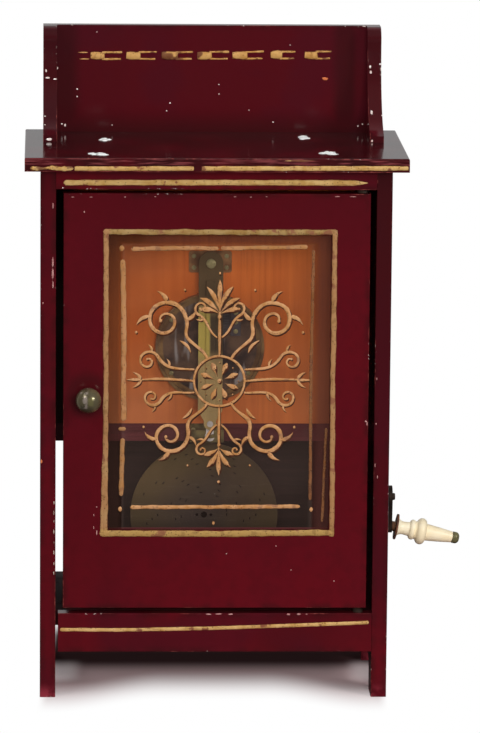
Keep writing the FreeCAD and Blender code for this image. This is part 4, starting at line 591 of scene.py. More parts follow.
def bedplate_metal():
    """Bedplate: dark blued iron with painted upright glints, and a rim worn to bronze."""
    finish = Finish("bedplate_metal", (0.24, 0.135, 0.085))
    middle, radius = round_node("bedplate")
    from_middle = finish.around(middle)[2]
    mottle = finish.clouds(45.0, 0.36, 0.62, 4.0)
    finish.lay(mottle, (0.060, 0.038, 0.036))
    # Painted glints: upright streaks of bright colour.
    glints = finish.grain((130.0, 130.0, 22.0), 2.0).rising(0.56, 0.68)
    finish.lay(glints * 0.8, (0.62, 0.55, 0.52))
    rim = from_middle.rising(radius - 6.5 * MM, radius - 5.0 * MM)
    bronze = finish.colours(finish.clouds(60.0, 0.4, 0.65), (0.42, 0.23, 0.085), (0.17, 0.080, 0.034))
    finish.lay(rim * 0.9, bronze)
    pits = finish.specks(600.0, 0.24, 0.3)
    finish.lay(pits * 0.6, (0.03, 0.02, 0.02))
    return finish.surface(mottle * 0.4 - pits, 0.04, metallic=0.5, roughness=0.36 + mottle * 0.15)


def disc_metal():
    """The tune disc: dull patina, faint rings round its middle, small bright dents and scratches, a painted
    highlight toward its upper left and painted shade on its low part.
    """
    finish = Finish("disc_metal", settings().metal.disc)
    middle, radius = round_node("stored_disc")
    across, up, from_middle = finish.around(middle)
    z = finish.axes()[2]
    outward = finish.node("ShaderNodeCombineXYZ", values={"X": from_middle * 900.0})
    rings = finish.noise(1.0, vector=outward)
    mottle = finish.clouds(26.0, 0.38, 0.66, 4.0)
    finish.fade(mottle, 0.62, 0.60, 0.74)
    # Painted highlight: lighter toward the disc's upper left.
    crown = (up - across * 0.4).rising(0.25 * radius, 0.95 * radius)
    finish.fade(crown * 0.75, 2.1, 2.0, 1.4)
    rim = from_middle.rising(0.55 * radius, 0.95 * radius) * finish.clouds(40.0, 0.35, 0.60, 2.0)
    finish.fade(rim * 0.5, 1.25, 1.30, 0.85)
    finish.fade(from_middle.falling(0.15 * radius, 0.80 * radius) * 0.50, 0.66, 0.72, 1.25)
    finish.fade(rings.rising(0.55, 0.75) * 0.3, 1.5, 1.45, 1.3)
    dents = finish.specks(75.0, 0.07, 0.30)
    finish.lay(dents, (0.34, 0.32, 0.27))
    to_right = across.rising(0.05 * radius, 0.45 * radius)
    finish.fade(to_right * 0.45, 1.20, 1.12, 1.10)
    # Painted shade on the disc's low part, below the window's bottom edge, less on its right.
    below = z.falling(WINDOW_LOW - 20 * MM, WINDOW_LOW - 4 * MM) * (1 - to_right * 0.9)
    finish.lay(below * 0.50, (0.030, 0.017, 0.012))
    scratches = finish.grain((40.0, 40.0, 1500.0), 1.0, turn=(0.0, 0.5, 0.0)).rising(0.66, 0.72)
    finish.lay(scratches * 0.25, (0.22, 0.18, 0.12))
    return finish.surface(rings * 0.3 - dents - scratches * 0.3, 0.06, 0.6, metallic=0.45,
                          roughness=0.44 + mottle * 0.16)


def knob_metal():
    """Ball knob: dark olive brass, pinkish grey in patches on its left and its upper rim, greener in its
    middle.
    """
    finish = Finish("knob_brass", (0.175, 0.145, 0.082))
    middle, radius = round_node("door_knob")
    x, y, z = finish.axes()
    across, up = (x - middle.x) / radius, (z - middle.z) / radius
    blotches = finish.noise(230.0, 3.0)
    mottle = finish.clouds(90.0, 0.36, 0.62)
    finish.lay(mottle, (0.095, 0.078, 0.044))
    greener = across.band(-0.10, 0.08, 0.30, 0.50) * up.band(-0.40, -0.15, 0.30, 0.50)
    finish.lay(greener * 0.7, (0.23, 0.205, 0.085))
    left = across.band(-0.55, -0.35, -0.20, 0.0) * up.band(-0.60, -0.40, 0.35, 0.55)
    rim = across.band(-0.80, -0.60, -0.20, 0.05) * up.rising(0.55, 0.72)
    finish.lay(left.most(rim) * blotches.rising(0.44, 0.56) * 0.80, (0.52, 0.42, 0.36))
    pits = finish.specks(900.0, 0.22, 0.25)
    finish.lay(pits * 0.6, (0.035, 0.028, 0.018))
    return finish.surface(blotches * 0.5 - pits, 0.05, metallic=0.55,
                          roughness=0.20 + mottle * 0.10 + pits * 0.2)


def pin_metal():
    """Handle's pin: rusty brown beside the arm, olive at the domed end that shows past the bone."""
    finish = Finish("pin_brass")
    end = edge("handle_pin", 0, 1)
    outer = finish.axes()[0].rising(end - 22 * MM, end - 14 * MM)
    mottle = finish.clouds(180.0, 0.38, 0.62)
    olive = finish.colours(mottle, (0.21, 0.19, 0.088), (0.115, 0.100, 0.048))
    brown = finish.colours(mottle, (0.24, 0.115, 0.062), (0.085, 0.040, 0.024))
    finish.colour = finish.colours(outer, brown, olive)
    return finish.surface(mottle, metallic=0.4, roughness=0.34 + mottle * 0.15)


def turned_bone():
    """Turned bone: warm cream, faint lengthwise pores, fine turning rings, browner at its end."""
    finish = Finish("turned_bone", settings().metal.bone)
    end = edge("crank_handle", 0, 1)
    pores = finish.grain((60.0, 1400.0, 1400.0), turn=HANDLE_TURN)
    turning = finish.grain((1900.0, 20.0, 20.0), 1.0, turn=HANDLE_TURN)
    finish.fade(finish.clouds(60.0, 0.4, 0.7, 2.0) * 0.6, 0.93, 0.84, 0.68)
    finish.fade(pores.rising(0.60, 0.74) * 0.55, 0.62, 0.46, 0.30)
    finish.fade(finish.axes()[0].rising(end - 12 * MM, end) * 0.3, 0.85, 0.70, 0.48)
    return finish.surface(turning * 0.6 + pores * 0.4, roughness=0.34 + pores * 0.12, specular_ior_level=0.5,
                          coat_weight=0.2, coat_roughness=0.2)


def fibrous(name, colour, roughness):
    """Leather or fibre with a pebbled surface and worn high spots."""
    finish = Finish(name, colour)
    wear = finish.clouds(150.0, 0.45, 0.7)
    finish.fade(wear, 2.2, 2.0, 1.7)
    return finish.surface(finish.cells(1400.0), 0.06, 0.6, roughness=roughness + wear * 0.1,
                          specular_ior_level=0.3)


# Paints and glass
def gold_paint(name, colour, under, worn, metallic=0.15, cover=1.0, tint=None, brush=DABBED):
    """Gold paint laid by hand: uneven body, dark grains, patches worn through to what lies under it."""
    finish = Finish(name, colour)
    red, green, blue = colour
    body = finish.clouds(190.0, 0.35, 0.68)
    finish.fade(body, 0.80, 0.70, 0.52)
    if tint:
        tint(finish)
    light = finish.noise(38.0, at=(0.3, 0.1, 0.7)).rising(0.50, 0.72)
    finish.lay(light * 0.4, (min(1.0, red * 1.22), min(1.0, green * 1.25), blue * 1.45))
    streaks = finish.grain(brush).rising(0.54, 0.68)
    finish.fade(streaks * 0.50, 0.52, 0.40, 0.34)
    grains = finish.specks(520.0, 0.30, 0.42)
    finish.fade(grains * 0.8, 0.26, 0.17, 0.16)
    through = finish.noise(120.0, 4.0, (0.9, 0.4, 0.2))
    gone = (through * 0.6 + finish.noise(21.0) * 0.4).rising(0.62 - worn * 0.14, 0.66 - worn * 0.12)
    finish.lay(gone * 0.8, under)
    alpha = 1.0 if cover == 1.0 else (0.72 + body * 0.28) * cover
    return finish.surface(body - gone * 0.8 - streaks * 0.8 - grains * 0.5, 0.14, 0.8, metallic=metallic,
                          roughness=0.46 + body * 0.16 + gone * 0.1, alpha=alpha, specular_ior_level=0.4)


def window_tint(finish):
    """The window line's sides as they aged: orange on the left, browner on the right, golden below."""
    x, y, z = finish.axes()
    finish.lay(x.falling(WINDOW_LEFT, WINDOW_LEFT + 2 * MM) * 0.7, (0.43, 0.195, 0.088))
    finish.lay(x.rising(WINDOW_RIGHT - 2 * MM, WINDOW_RIGHT) * 0.6, (0.43, 0.195, 0.090))
    finish.lay(z.falling(WINDOW_LOW, WINDOW_LOW + 2 * MM) * 0.7, (0.48, 0.290, 0.086))


def flat_paint(name, colour, darker):
    """Plain dried paint or glue with an uneven surface."""
    finish = Finish(name, colour)
    body = finish.noise(300.0, 3.0)
    finish.lay(body.rising(0.35, 0.7), darker)
    return finish.surface(body, 0.1, 0.6, roughness=0.6 + body * 0.15, specular_ior_level=0.3)


def pane():
    """Old window glass: clear, with a thin uneven film that catches light, browner near its edges."""
    glass = settings().glass
    finish = Finish("pane_glass", glass.tint)
    x, y, z = finish.axes()
    film = finish.noise(14.0, 3.0, vector=finish.stretched((1.0, 1.0, 1.3))).rising(0.30, 0.72)
    low_part = z.band(WINDOW_LOW, WINDOW_LOW + 40 * MM, WINDOW_LOW + 30 * MM, WINDOW_HIGH - 90 * MM)
    smears = finish.grain((9.0, 9.0, 46.0), turn=(0.0, 0.35, 0.0)).rising(0.52, 0.72)
    dust = finish.specks(210.0, 0.05, 0.20)
    mirror = finish.node("ShaderNodeFresnel", values={"IOR": 1.45})
    from_left = x - WINDOW_LEFT
    brown = from_left.falling(6 * MM, 13 * MM) * 0.30
    brown = brown.most((WINDOW_RIGHT - x).falling(6 * MM, 17 * MM) * 0.27)
    brown = brown.most((WINDOW_HIGH - z).falling(5.5 * MM, 9 * MM) * 0.24)
    to_right = from_left.rising(20 * MM, 40 * MM)
    browned = finish.colours(to_right, (0.046, 0.021, 0.015), (0.118, 0.040, 0.032))
    finish.lay(brown.rising(0.0, 0.12), browned)
    alpha = glass.haze * (0.35 + film * 0.55 + low_part * 0.55 + smears * 0.25)
    alpha = alpha + brown + dust * 0.20 + mirror * 0.25
    return finish.surface(alpha=alpha.least(1.0), roughness=0.10 + film * 0.12, specular_ior_level=0.5)


# Camera
def camera_back():
    """The way from the camera's aim to the camera."""
    stage = settings().stage
    level = math.cos(stage.elevation)
    return Vector((math.sin(stage.azimuth) * level, -math.cos(stage.azimuth) * level,
                   math.sin(stage.elevation)))


def camera_place():
    """Where the camera stands: its aim is a point inside the case, to the right of its middle."""
    aim = Vector((CASE_MIDDLE + AIM_ACROSS, DOOR_FACE + AIM_BACK, AIM_UP))
    return aim + camera_back() * settings().stage.distance


# Making pieces
def made_of(name, shape, material, smooth=True):
    """A piece from a bmesh whose place is in its vertices."""
    mesh = bpy.data.meshes.new(name)
    shape.to_mesh(mesh)
    shape.free()
    mesh.materials.append(material)
    mesh.polygons.foreach_set("use_smooth", [smooth] * len(mesh.polygons))
    piece = bpy.data.objects.new(name, mesh)
    bpy.context.scene.collection.objects.link(piece)
    return piece


def finished(name, shape, material, where):
    """A piece that rides on a body; where gives the body and a slot, and the slot is not used."""
    body, slot = where
    piece = made_of(name, shape, material)
    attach(piece, body)


class Stroke:
    """A brush stroke on an upright face: points (across, up) and a width in millimetres, and an outline."""
    # Waves per millimetre: the slow and quick changes of its width, and its drift from the line
    slow, quick, sway = 0.12, 0.48, 0.09
    # Outlines with one belly: the powers that move the belly along and flatten it
    bellies = {"leaf": (1.0, 0.8), "drop": (0.6, 1.0), "petal": (1.6, 1.0)}

    def __init__(self, points, width, outline="line", wobble=0.10):
        self.points = [Vector((across, up)) for across, up in points]
        self.width = width
        self.outline = outline
        self.wobble = wobble

    def redrawn(self, scale=(1.0, 1.0), shift=(0.0, 0.0), width=1.0, wobble=None):
        """The same stroke with its points scaled and then shifted, and its width scaled."""
        points = [(point.x * scale[0] + shift[0], point.y * scale[1] + shift[1]) for point in self.points]
        return Stroke(points, self.width * width, self.outline, self.wobble if wobble is None else wobble)

    def dense(self):
        """The points at an even spacing, with the distance run at each."""
        runs = [0.0]
        for before, after in zip(self.points, self.points[1:]):
            runs.append(runs[-1] + (after - before).length)
        count = max(8, int(runs[-1] / (self.width * 0.22)))
        places = []
        at = 0
        for index in range(count + 1):
            run = runs[-1] * index / count
            while at < len(runs) - 2 and runs[at + 1] < run:
                at += 1
            span = max(runs[at + 1] - runs[at], 1e-6)
            places.append((run, self.points[at].lerp(self.points[at + 1], (run - runs[at]) / span)))
        return places

    def half_width(self, run, length, seed):
        """Half the stroke's width at a distance along it."""
        half = self.width / 2
        share = run / length
        to_end = min(run, length - run)
        swell = 1 + self.wobble * noise.noise(Vector((run * self.slow, seed, 0.3)))
        swell += self.wobble * 0.5 * noise.noise(Vector((run * self.quick, seed, 7.7)))
        if self.outline in self.bellies:
            along, flatness = self.bellies[self.outline]
            return half * swell * max(0.04, math.sin(math.pi * share ** along) ** flatness)
        if self.outline == "stem":
            swell *= 0.50 + 0.62 * math.sin(math.pi * (0.10 + 0.84 * share))
            return half * swell * max(0.05, self.round_end(to_end, half * 0.6))
        if self.outline == "square":
            return half * swell * min(1.0, 0.86 + 0.14 * to_end / half)
        if self.outline == "pointed":
            back = min(1.0, (length - run) / (5 * half))
            return half * swell * max(0.05, min(self.round_end(run, half), back ** 0.7))
        return half * swell * max(0.05, self.round_end(to_end, half))

    @staticmethod
    def round_end(run, half):
        """The share of the width that a round end leaves at a distance from it."""
        return 1.0 if run >= half else math.sqrt(max(0.0, 1 - (1 - run / half) ** 2))


def painted(name, strokes, face, material, where, lift=0.0):
    """Brush strokes on an upright face as one piece of low relief; face is where it lies along Y."""
    curve = bpy.data.curves.new(name + "_path", "CURVE")
    curve.dimensions = "3D"
    curve.twist_mode = "MINIMUM"
    curve.bevel_depth = 1.0
    curve.bevel_resolution = 2
    curve.use_fill_caps = True
    for number, stroke in enumerate(strokes):
        places = stroke.dense()
        length = places[-1][0]
        spline = curve.splines.new("POLY")
        spline.points.add(len(places) - 1)
        for point, (run, place) in zip(spline.points, places):
            shift = noise.noise(Vector((run * stroke.sway, number * 3.1, 4.2)))
            drift = stroke.width * stroke.wobble * 0.5 * shift
            point.co = (CASE_MIDDLE + (place.x + drift) * MM, 0.0, (place.y + drift) * MM, 1.0)
            point.radius = stroke.half_width(run, length, number * 1.7) * MM
    path = bpy.data.objects.new(name + "_path", curve)
    mesh = bpy.data.meshes.new_from_object(path)
    bpy.data.objects.remove(path)
    shape = bmesh.new()
    shape.from_mesh(mesh)
    bpy.data.meshes.remove(mesh)
    bmesh.ops.scale(shape, vec=(1.0, settings().gilt.relief, 1.0), verts=shape.verts)
    bmesh.ops.translate(shape, vec=(0.0, face - lift, 0.0), verts=shape.verts)
    bmesh.ops.recalc_face_normals(shape, faces=shape.faces)
    finished(name, shape, material, where)


def flakes(name, places, material, where):
    """Ragged flakes as one piece: each place is its point, its normal and its size, wide, thick and tall."""
    shape = bmesh.new()
    for number, (place, normal, size) in enumerate(places):
        seed = number * 1.9 + 0.4
        made = bmesh.ops.create_icosphere(shape, subdivisions=2, radius=0.5)["verts"]
        for vert in made:
            vert.co *= 1 + 0.55 * noise.noise(vert.co * 4.0 + Vector((seed, seed * 0.7, 0.1)))
        bmesh.ops.scale(shape, vec=size, verts=made)
        across = (Vector((1, 0, 0)) - normal * normal.x).normalized()
        turn = Matrix((across, normal, across.cross(normal))).transposed().to_4x4()
        bmesh.ops.transform(shape, matrix=Matrix.Translation(place) @ turn, verts=made)
    finished(name, shape, material, where)


def where_seen(across, up, boards):
    """The point and normal where the camera's sight line through a point on the door's plane meets a board.
    The point is given in mm: across from the case's middle and up from the floor."""
    start = camera_place()
    way = (Vector((CASE_MIDDLE + across * MM, DOOR_FACE, up * MM)) - start).normalized()
    hits = []
    for board in boards:
        found, place, normal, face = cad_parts[board].ray_cast(start, way)
        if found:
            hits.append(((place - start).length, place, normal))
    if not hits:
        raise RuntimeError("no board is seen at %g, %g" % (across, up))
    return min(hits, key=lambda hit: hit[0])[1:]


# Drawing the ornament
def bowed(start, end, bow, steps=24):
    """Points from start to end along a curve that bows sideways by a share of its length."""
    first, last = Vector(start), Vector(end)
    side = Vector((-(last - first).y, (last - first).x)) * bow
    near, far = (first.lerp(last, share) + side for share in (0.33, 0.67))
    return interpolate_bezier(first, near, far, last, steps)


def toward(angle, length=1.0):
    """A step of a length in the direction of an angle in degrees."""
    return Vector((math.cos(math.radians(angle)), math.sin(math.radians(angle)))) * length


def scroll(start, heading, centre, radius, enter, turns):
    """A stem from start that winds into a spiral; enter is its angle there, turns below 0 run clockwise."""
    way = 1 if turns > 0 else -1
    first = Vector(start)
    middle = Vector(centre)
    join = middle + toward(enter, radius)
    reach = (join - first).length * 0.45
    back = join - toward(enter + 90 * way, reach)
    points = interpolate_bezier(first, first + toward(heading, reach), back, join, 28)
    steps = int(abs(turns) * 40)
    for index in range(1, steps + 1):
        share = index / steps
        shrink = radius * (1 - 0.80 * share ** 0.85)
        points.append(middle + toward(enter + turns * 360 * share, shrink))
    return points


def dot(centre, size):
    """A short stroke that reads as a round dot."""
    across, up = centre
    return Stroke([(across - size * 0.30, up), (across + size * 0.30, up)], size, "line", 0.12)


def spray(root, angles, lengths, width, outline="leaf", bow=0.16):
    """Leaves that fan out from a root, each bowed away from the upright."""
    leaves = []
    for angle, length in zip(angles, lengths):
        step = toward(angle, length)
        lean = 0.0 if angle % 90 == 0 else math.copysign(bow, step.x * step.y)
        leaves.append(Stroke(bowed(root, Vector(root) + step, lean), width, outline))
    return leaves


def branch(start, heading, centre, radius, enter, turns, width, leaves=()):
    """A stem that ends in a spiral with a bud; leaves grow from its outer side: share along, length."""
    points = scroll(start, heading, centre, radius, enter, turns)
    strokes = [Stroke(points, width, "stem"), dot(points[-1], width * 1.05)]
    outer = -math.copysign(1, turns)
    for share, length in leaves:
        at = int(share * (len(points) - 1))
        along = Vector(points[at + 1]) - Vector(points[at - 1])
        tip = points[at] + toward(math.degrees(math.atan2(along.y, along.x)) + outer * 48, length)
        strokes.append(Stroke(bowed(points[at], tip, 0.20 * outer), length * 0.40, "drop"))
    return strokes


def ornament_strokes(across, up, height):
    """A gilt arabesque: rosette in a ring, four leafy scrolls, side sprays, palmette above, drop below.
    It is drawn in millimetres round its middle, then scaled to its height and moved."""
    half = []
    half += branch((9, 17), 66, (42, 47), 17.5, 196, -1.55, 4.2, ((0.33, 11), (0.43, 12), (0.53, 12)))
    half += branch((9, -17), -62, (38, -43), 15.0, 164, 1.50, 4.0, ((0.34, 10), (0.45, 11), (0.55, 11)))
    half += branch((19, 9), 4, (55, 15.5), 8.5, 150, -1.20, 3.0, ((0.22, 7), (0.42, 7)))
    half += branch((19, -9), -4, (52, -12.5), 7.5, -150, 1.20, 2.9, ((0.22, 7), (0.42, 6)))
    half.append(Stroke(bowed((19, 0), (61, 1), 0.03), 2.8, "stem"))
    half += spray((60, 1), (42, 0, -42), (9, 12, 9), 3.4, "drop")
    half += branch((1.5, 34), 34, (14, 57), 5.6, -60, 1.10, 2.6, ((0.3, 6),))
    half += branch((1.5, -34), -34, (13, -54), 5.0, 60, -1.10, 2.4, ((0.3, 6),))
    half += spray((22, 22), (48,), (13,), 3.4)
    half += spray((21, -21), (-48,), (11,), 3.2)
    half += [dot((64, 38), 3.4), dot((58, -36), 3.0), dot((27, 71), 2.8), dot((24, -66), 2.6)]

    whole = half + [stroke.redrawn((-1.0, 1.0)) for stroke in half]
    whole.append(Stroke(bowed((0, 20), (0, 54), 0.0), 3.0, "stem"))
    whole.append(Stroke(bowed((0, -20), (0, -54), 0.0), 2.8, "stem"))
    whole += spray((0, 52), (14, 40, 65, 90, 115, 140, 166), (16, 20, 24, 27, 24, 20, 16), 5.6, "petal", 0.12)
    whole += spray((0, -52), (-27, -59, -90, -121, -153), (13, 18, 22, 18, 13), 5.2, "petal", 0.12)
    whole += [dot((0, 84), 3.0), dot((0, -79), 3.2), dot((0, 50), 5.0), dot((0, -50), 4.6)]
    whole.append(Stroke([toward(angle, 19.5) for angle in range(0, 361, 6)], 2.6, "line"))
    for index in range(8):
        angle = 45 * index + 22.5
        whole.append(Stroke([toward(angle, 4.4), toward(angle, 15.6)], 5.6, "petal"))
        whole.append(dot(toward(angle + 22.5, 14.6), 1.7))
    whole.append(dot((0, 0), 5.4))

    scale = height / ORNAMENT_DRAWN
    return [stroke.redrawn((scale, scale), (across, up), ORNAMENT_LINE, 0.22) for stroke in whole]


# Operators
class MUSICALBOX_OT_lacquer_case(bpy.types.Operator):
    """Lacquers the boards of the case, the gallery and the door"""
    bl_idname = "musical_box.lacquer_case"
    bl_label = "Lacquer the Case"

    def execute(self, context):
        for board in CASE_BOARDS + GALLERY_SIDES + DOOR_BOARDS:
            shade(board, lacquer(board))
        return {"FINISHED"}


class MUSICALBOX_OT_finish_inside(bpy.types.Operator):
    """Finishes the soundboard, the shelf, the rack, the back and the nails"""
    bl_idname = "musical_box.finish_inside"
    bl_label = "Finish the Inside"

    def execute(self, context):
        stain = settings().case.stain
        shade("soundboard", soundboard())
        shade("shelf bottom_board glazing_beads disc_rack", stained_wood("inner_stain", stain))
        shade("upper_back_board lower_back_panel", back_wood())
        shade("case_nails", aged_metal("iron_nail", (0.10, 0.075, 0.06), (0.035, 0.022, 0.016), 0.6))
        return {"FINISHED"}


class MUSICALBOX_OT_gild_case(bpy.types.Operator):
    """Paints the gold lines on the top board, the header and the plinth"""
    bl_idname = "musical_box.gild_case"
    bl_label = "Gild the Case"

    # Length of the line's worn start on the top board, and where the line is broken
    worn_length = 34.0
    dent = -15.0

    def execute(self, context):
        gold = settings().gilt.gold
        fresh = gold_paint("gold_paint", gold, (0.17, 0.03, 0.024), 0.35, brush=DRAWN_ALONG)
        tired = gold_paint("gold_paint_worn", gold, (0.085, 0.006, 0.008), 1.30, brush=DRAWN_ALONG)
        left = (edge("top_board", 0, 0) - CASE_MIDDLE) / MM + 4.0
        right = (edge("top_board", 0, 1) - CASE_MIDDLE) / MM - 1.2
        row = edge("top_board", 2, 0) / MM + 2.7
        top = TOP_FACE / MM
        worn_end = left + self.worn_length
        dent = self.dent
        painted("gilt_line_top", [
            Stroke([(dent + 3, row), (right, row + 0.6)], 3.7, "square", 0.13),
            Stroke([(worn_end, row - 0.2), (dent - 3, row)], 3.5, "square", 0.13),
        ], TOP_FRONT, fresh, ON_CASE)
        painted("gilt_line_top_worn", [
            Stroke([(left, row - 0.3), (worn_end - 1, row - 0.2)], 3.2, "line", 0.5),
            Stroke([(dent + 66, top - 1.6), (dent + 89, top - 1.5)], 1.1, "leaf", 0.5),
        ], TOP_FRONT, tired, ON_CASE)

        row = edge("header_rail", 2, 0) / MM + 5.1
        header = Stroke([(-116.9, row - 0.2), (0.0, row + 0.2), (115.4, row + 0.2)], 4.5, "pointed")
        painted("gilt_line_header", [header], edge("header_rail", 1, 0), fresh, ON_CASE)

        row = edge("plinth_rail", 2, 1) / MM - 12.0
        plinth = Stroke([(-119.1, row - 0.9), (-72.0, row - 1.2), (0.3, row + 0.2), (70.0, row + 2.7),
                         (120.4, row + 4.6)], 2.9, wobble=0.12)
        painted("gilt_line_plinth", [plinth], edge("plinth_rail", 1, 0), fresh, ON_CASE)
        return {"FINISHED"}


class MUSICALBOX_OT_gild_gallery(bpy.types.Operator):
    """Paints the row of forked gold dashes on the gallery's back"""
    bl_idname = "musical_box.gild_gallery"
    bl_label = "Gild the Gallery"

    # Left end of a block, its right end, right end of the prongs
    units = ((-95.3, -84.5, -70.4), (-67.3, -55.9, -43.3), (-39.4, -26.8, -14.6), (-11.1, -0.1, 13.7),
             (16.5, 28.2, 40.8), (46.3, 55.0, 66.0), (73.1, 83.3, 94.3))
    # From a dash's middle to its prongs, from the gallery's top down to the row, and the row's slope
    half_height = 2.6
    drop = 23.8
    rise = 0.0065
    # Left end of the faint traces before the first dash
    traces_left = -105.2

    def execute(self, context):
        tired = gold_paint("gold_dash", (0.60, 0.335, 0.110), (0.085, 0.009, 0.011), 0.66)
        top = GALLERY_TOP / MM
        half = self.half_height
        strokes = []
        for left, inner, right in self.units:
            row = top - self.drop + inner * self.rise
            strokes += [Stroke([(left, row), (inner, row)], 6.2, "square", 0.26),
                        Stroke([(inner - 2, row + half), (right, row + half + 0.3)], 1.5, "line", 0.4),
                        Stroke([(inner - 2, row - half), (right - 1, row - half)], 1.5, "line", 0.4)]
        left = self.traces_left
        row = top - 24.4
        strokes += [Stroke([(left, row + half), (left + 8, row + half)], 1.0, "leaf", 0.5),
                    Stroke([(left + 1, row - half), (left + 9, row - half)], 1.0, "leaf", 0.5)]
        painted("gilt_dashes_gallery", strokes, GALLERY_FACE, tired, ON_CASE)
        return {"FINISHED"}


class MUSICALBOX_OT_gild_window(bpy.types.Operator):
    """Paints the gold line round the door's window"""
    bl_idname = "musical_box.gild_window"
    bl_label = "Gild the Window"

    def execute(self, context):
        gilt = settings().gilt
        aged = [part * 0.62 for part in gilt.gold]
        gold = gold_paint("gold_window", aged, (0.24, 0.08, 0.045), 0.45, tint=window_tint)
        width = gilt.window_width / MM
        half = width / 2
        past = half * 0.8
        low, high = WINDOW_LOW / MM - half - 0.3, WINDOW_HIGH / MM + half
        left, right = (WINDOW_LEFT - CASE_MIDDLE) / MM - half, (WINDOW_RIGHT - CASE_MIDDLE) / MM + half
        level = (low + high) / 2
        painted("gilt_line_window", [
            Stroke([(left - 0.2, level - 40), (left - 2.4, low - past)], width * 0.75, "line", 0.2),
            Stroke([(left - half, high + 0.3), (0.0, high), (right + half * 0.9, high + 0.2)],
                   width, "line", 0.2),
            Stroke([(left - half * 1.9, low), (0.0, low - 0.3), (right + half, low + 0.7)],
                   width * 1.12, "line", 0.16),
            Stroke([(left + 0.2, high + past), (left + 0.3, level), (left, low - half)],
                   width * 0.94, "square", 0.18),
            Stroke([(right, high + past), (right - 0.2, level), (right + 0.2, low - half)],
                   width * 0.92, "square", 0.2),
        ], DOOR_FACE, gold, ON_DOOR)
        return {"FINISHED"}


class MUSICALBOX_OT_glaze_door(bpy.types.Operator):
    """Finishes the pane of the door"""
    bl_idname = "musical_box.glaze_door"
    bl_label = "Glaze the Door"

    def execute(self, context):
        shade("door_glass", pane())
        return {"FINISHED"}


class MUSICALBOX_OT_paint_glass(bpy.types.Operator):
    """Paints the border and the gilt arabesque on the glass"""
    bl_idname = "musical_box.paint_glass"
    bl_label = "Paint the Glass"

    # Name of each piece: share of the border's width, wobble and points of its lines
    lines = {
        "glass_border": (
            (1.25, 0.22, ((-65.1, 351.1), (-30.0, 352.0), (2.0, 351.8))),
            (1.15, 0.22, ((3.5, 351.8), (40.0, 352.6), (70.3, 352.9))),
            (1.45, 0.22, ((-71.3, 343.3), (-70.4, 290.0), (-70.3, 217.2))),
            (1.30, 0.22, ((-71.0, 203.8), (-72.0, 158.2))),
            (1.05, 0.22, ((-74.5, 210.9), (-68.5, 210.9))),
            (1.90, 0.40, ((-74.6, 351.4), (-70.2, 351.4)))),
        "glass_border_low": (
            (1.10, 0.22, ((-65.0, 149.4), (0.0, 149.6), (66.3, 150.1))),
            (1.55, 0.40, ((-74.2, 148.0), (-71.2, 148.0))),
            (1.55, 0.40, ((73.8, 148.0), (76.6, 148.0))),
            (1.20, 0.40, ((-1.8, 136.9), (0.4, 136.9)))),
        "glass_border_right": (
            (0.85, 0.22, ((74.7, 350.6), (73.6, 250.0), (74.0, 155.1))),
            (0.70, 0.22, ((85.9, 212.0), (84.6, 175.0), (83.5, 138.0))))}
    over_shading = 0.1 * MM
    shading_shift = (0.55, -0.75)

    def execute(self, context):
        gilt = settings().gilt
        gold = gold_paint("gold_on_glass", gilt.glass_gold, (0.32, 0.15, 0.08), 0.40)
        thin = gold_paint("gold_on_glass_thin", gilt.glass_gold, (0.36, 0.17, 0.09), 0.40, 0.10, 0.78)
        faint = gold_paint("gold_on_glass_faint", (0.30, 0.13, 0.055), (0.20, 0.08, 0.04), 0.50, 0.10, 0.85)
        width = gilt.border_width / MM
        for (name, lines), paint in zip(self.lines.items(), (thin, gold, faint)):
            strokes = [Stroke(points, width * share, "line", wobble) for share, wobble, points in lines]
            painted(name, strokes, GLASS_FACE, paint, ON_GLASS)

        middle = ((WINDOW_LEFT + WINDOW_RIGHT) / 2 - CASE_MIDDLE) / MM
        level = (WINDOW_LOW + WINDOW_HIGH) / 2 / MM + 1
        strokes = ornament_strokes(middle, level, gilt.ornament_height / MM)
        painted("glass_ornament", strokes, GLASS_FACE, gold, ON_GLASS, self.over_shading)
        brown = flat_paint("shading_paint", gilt.shade, [part * 0.6 for part in gilt.shade])
        shading = [stroke.redrawn(shift=self.shading_shift) for stroke in strokes]
        painted("glass_ornament_shading", shading, GLASS_FACE, brown, ON_GLASS)
        return {"FINISHED"}


class MUSICALBOX_OT_finish_movement(bpy.types.Operator):
    """Finishes the bedplate, comb, star wheels, pressure bar and spindle"""
    bl_idname = "musical_box.finish_movement"
    bl_label = "Finish the Movement"

    def execute(self, context):
        metal = settings().metal
        shade("bedplate", bedplate_metal())
        shade("pressure_bar", bar_metal())
        shade("bar_bracket",
              aged_metal("bracket_brass", (0.44, 0.210, 0.085), (0.20, 0.085, 0.036), 0.40, 0.5, 0.3, 0.4))
        shade("catch_keeper spindle_bush drive_collar star_posts pressure_rollers",
              aged_metal("movement_brass", metal.brass, metal.patina, 0.36, 0.50, 0.25, 0.55))
        shade("movement_screws bar_pivot_screw",
              aged_metal("screw_brass", (0.56, 0.46, 0.22), (0.22, 0.17, 0.08), 0.30, 0.6, 0.25, 0.6))
        shade("comb",
              aged_metal("comb_steel", (0.16, 0.135, 0.140), (0.060, 0.045, 0.050), 0.34, 0.5, 0.2, 0.5))
        shade("star_wheels star_axle bar_catch roller_axle centre_spindle",
              aged_metal("bright_steel", metal.steel, (0.38, 0.33, 0.30), 0.30, 0.60, 0.12, 0.35))
        return {"FINISHED"}


class MUSICALBOX_OT_finish_disc(bpy.types.Operator):
    """Finishes the tune disc in its rack"""
    bl_idname = "musical_box.finish_disc"
    bl_label = "Finish the Disc"

    def execute(self, context):
        shade("stored_disc", disc_metal())
        return {"FINISHED"}


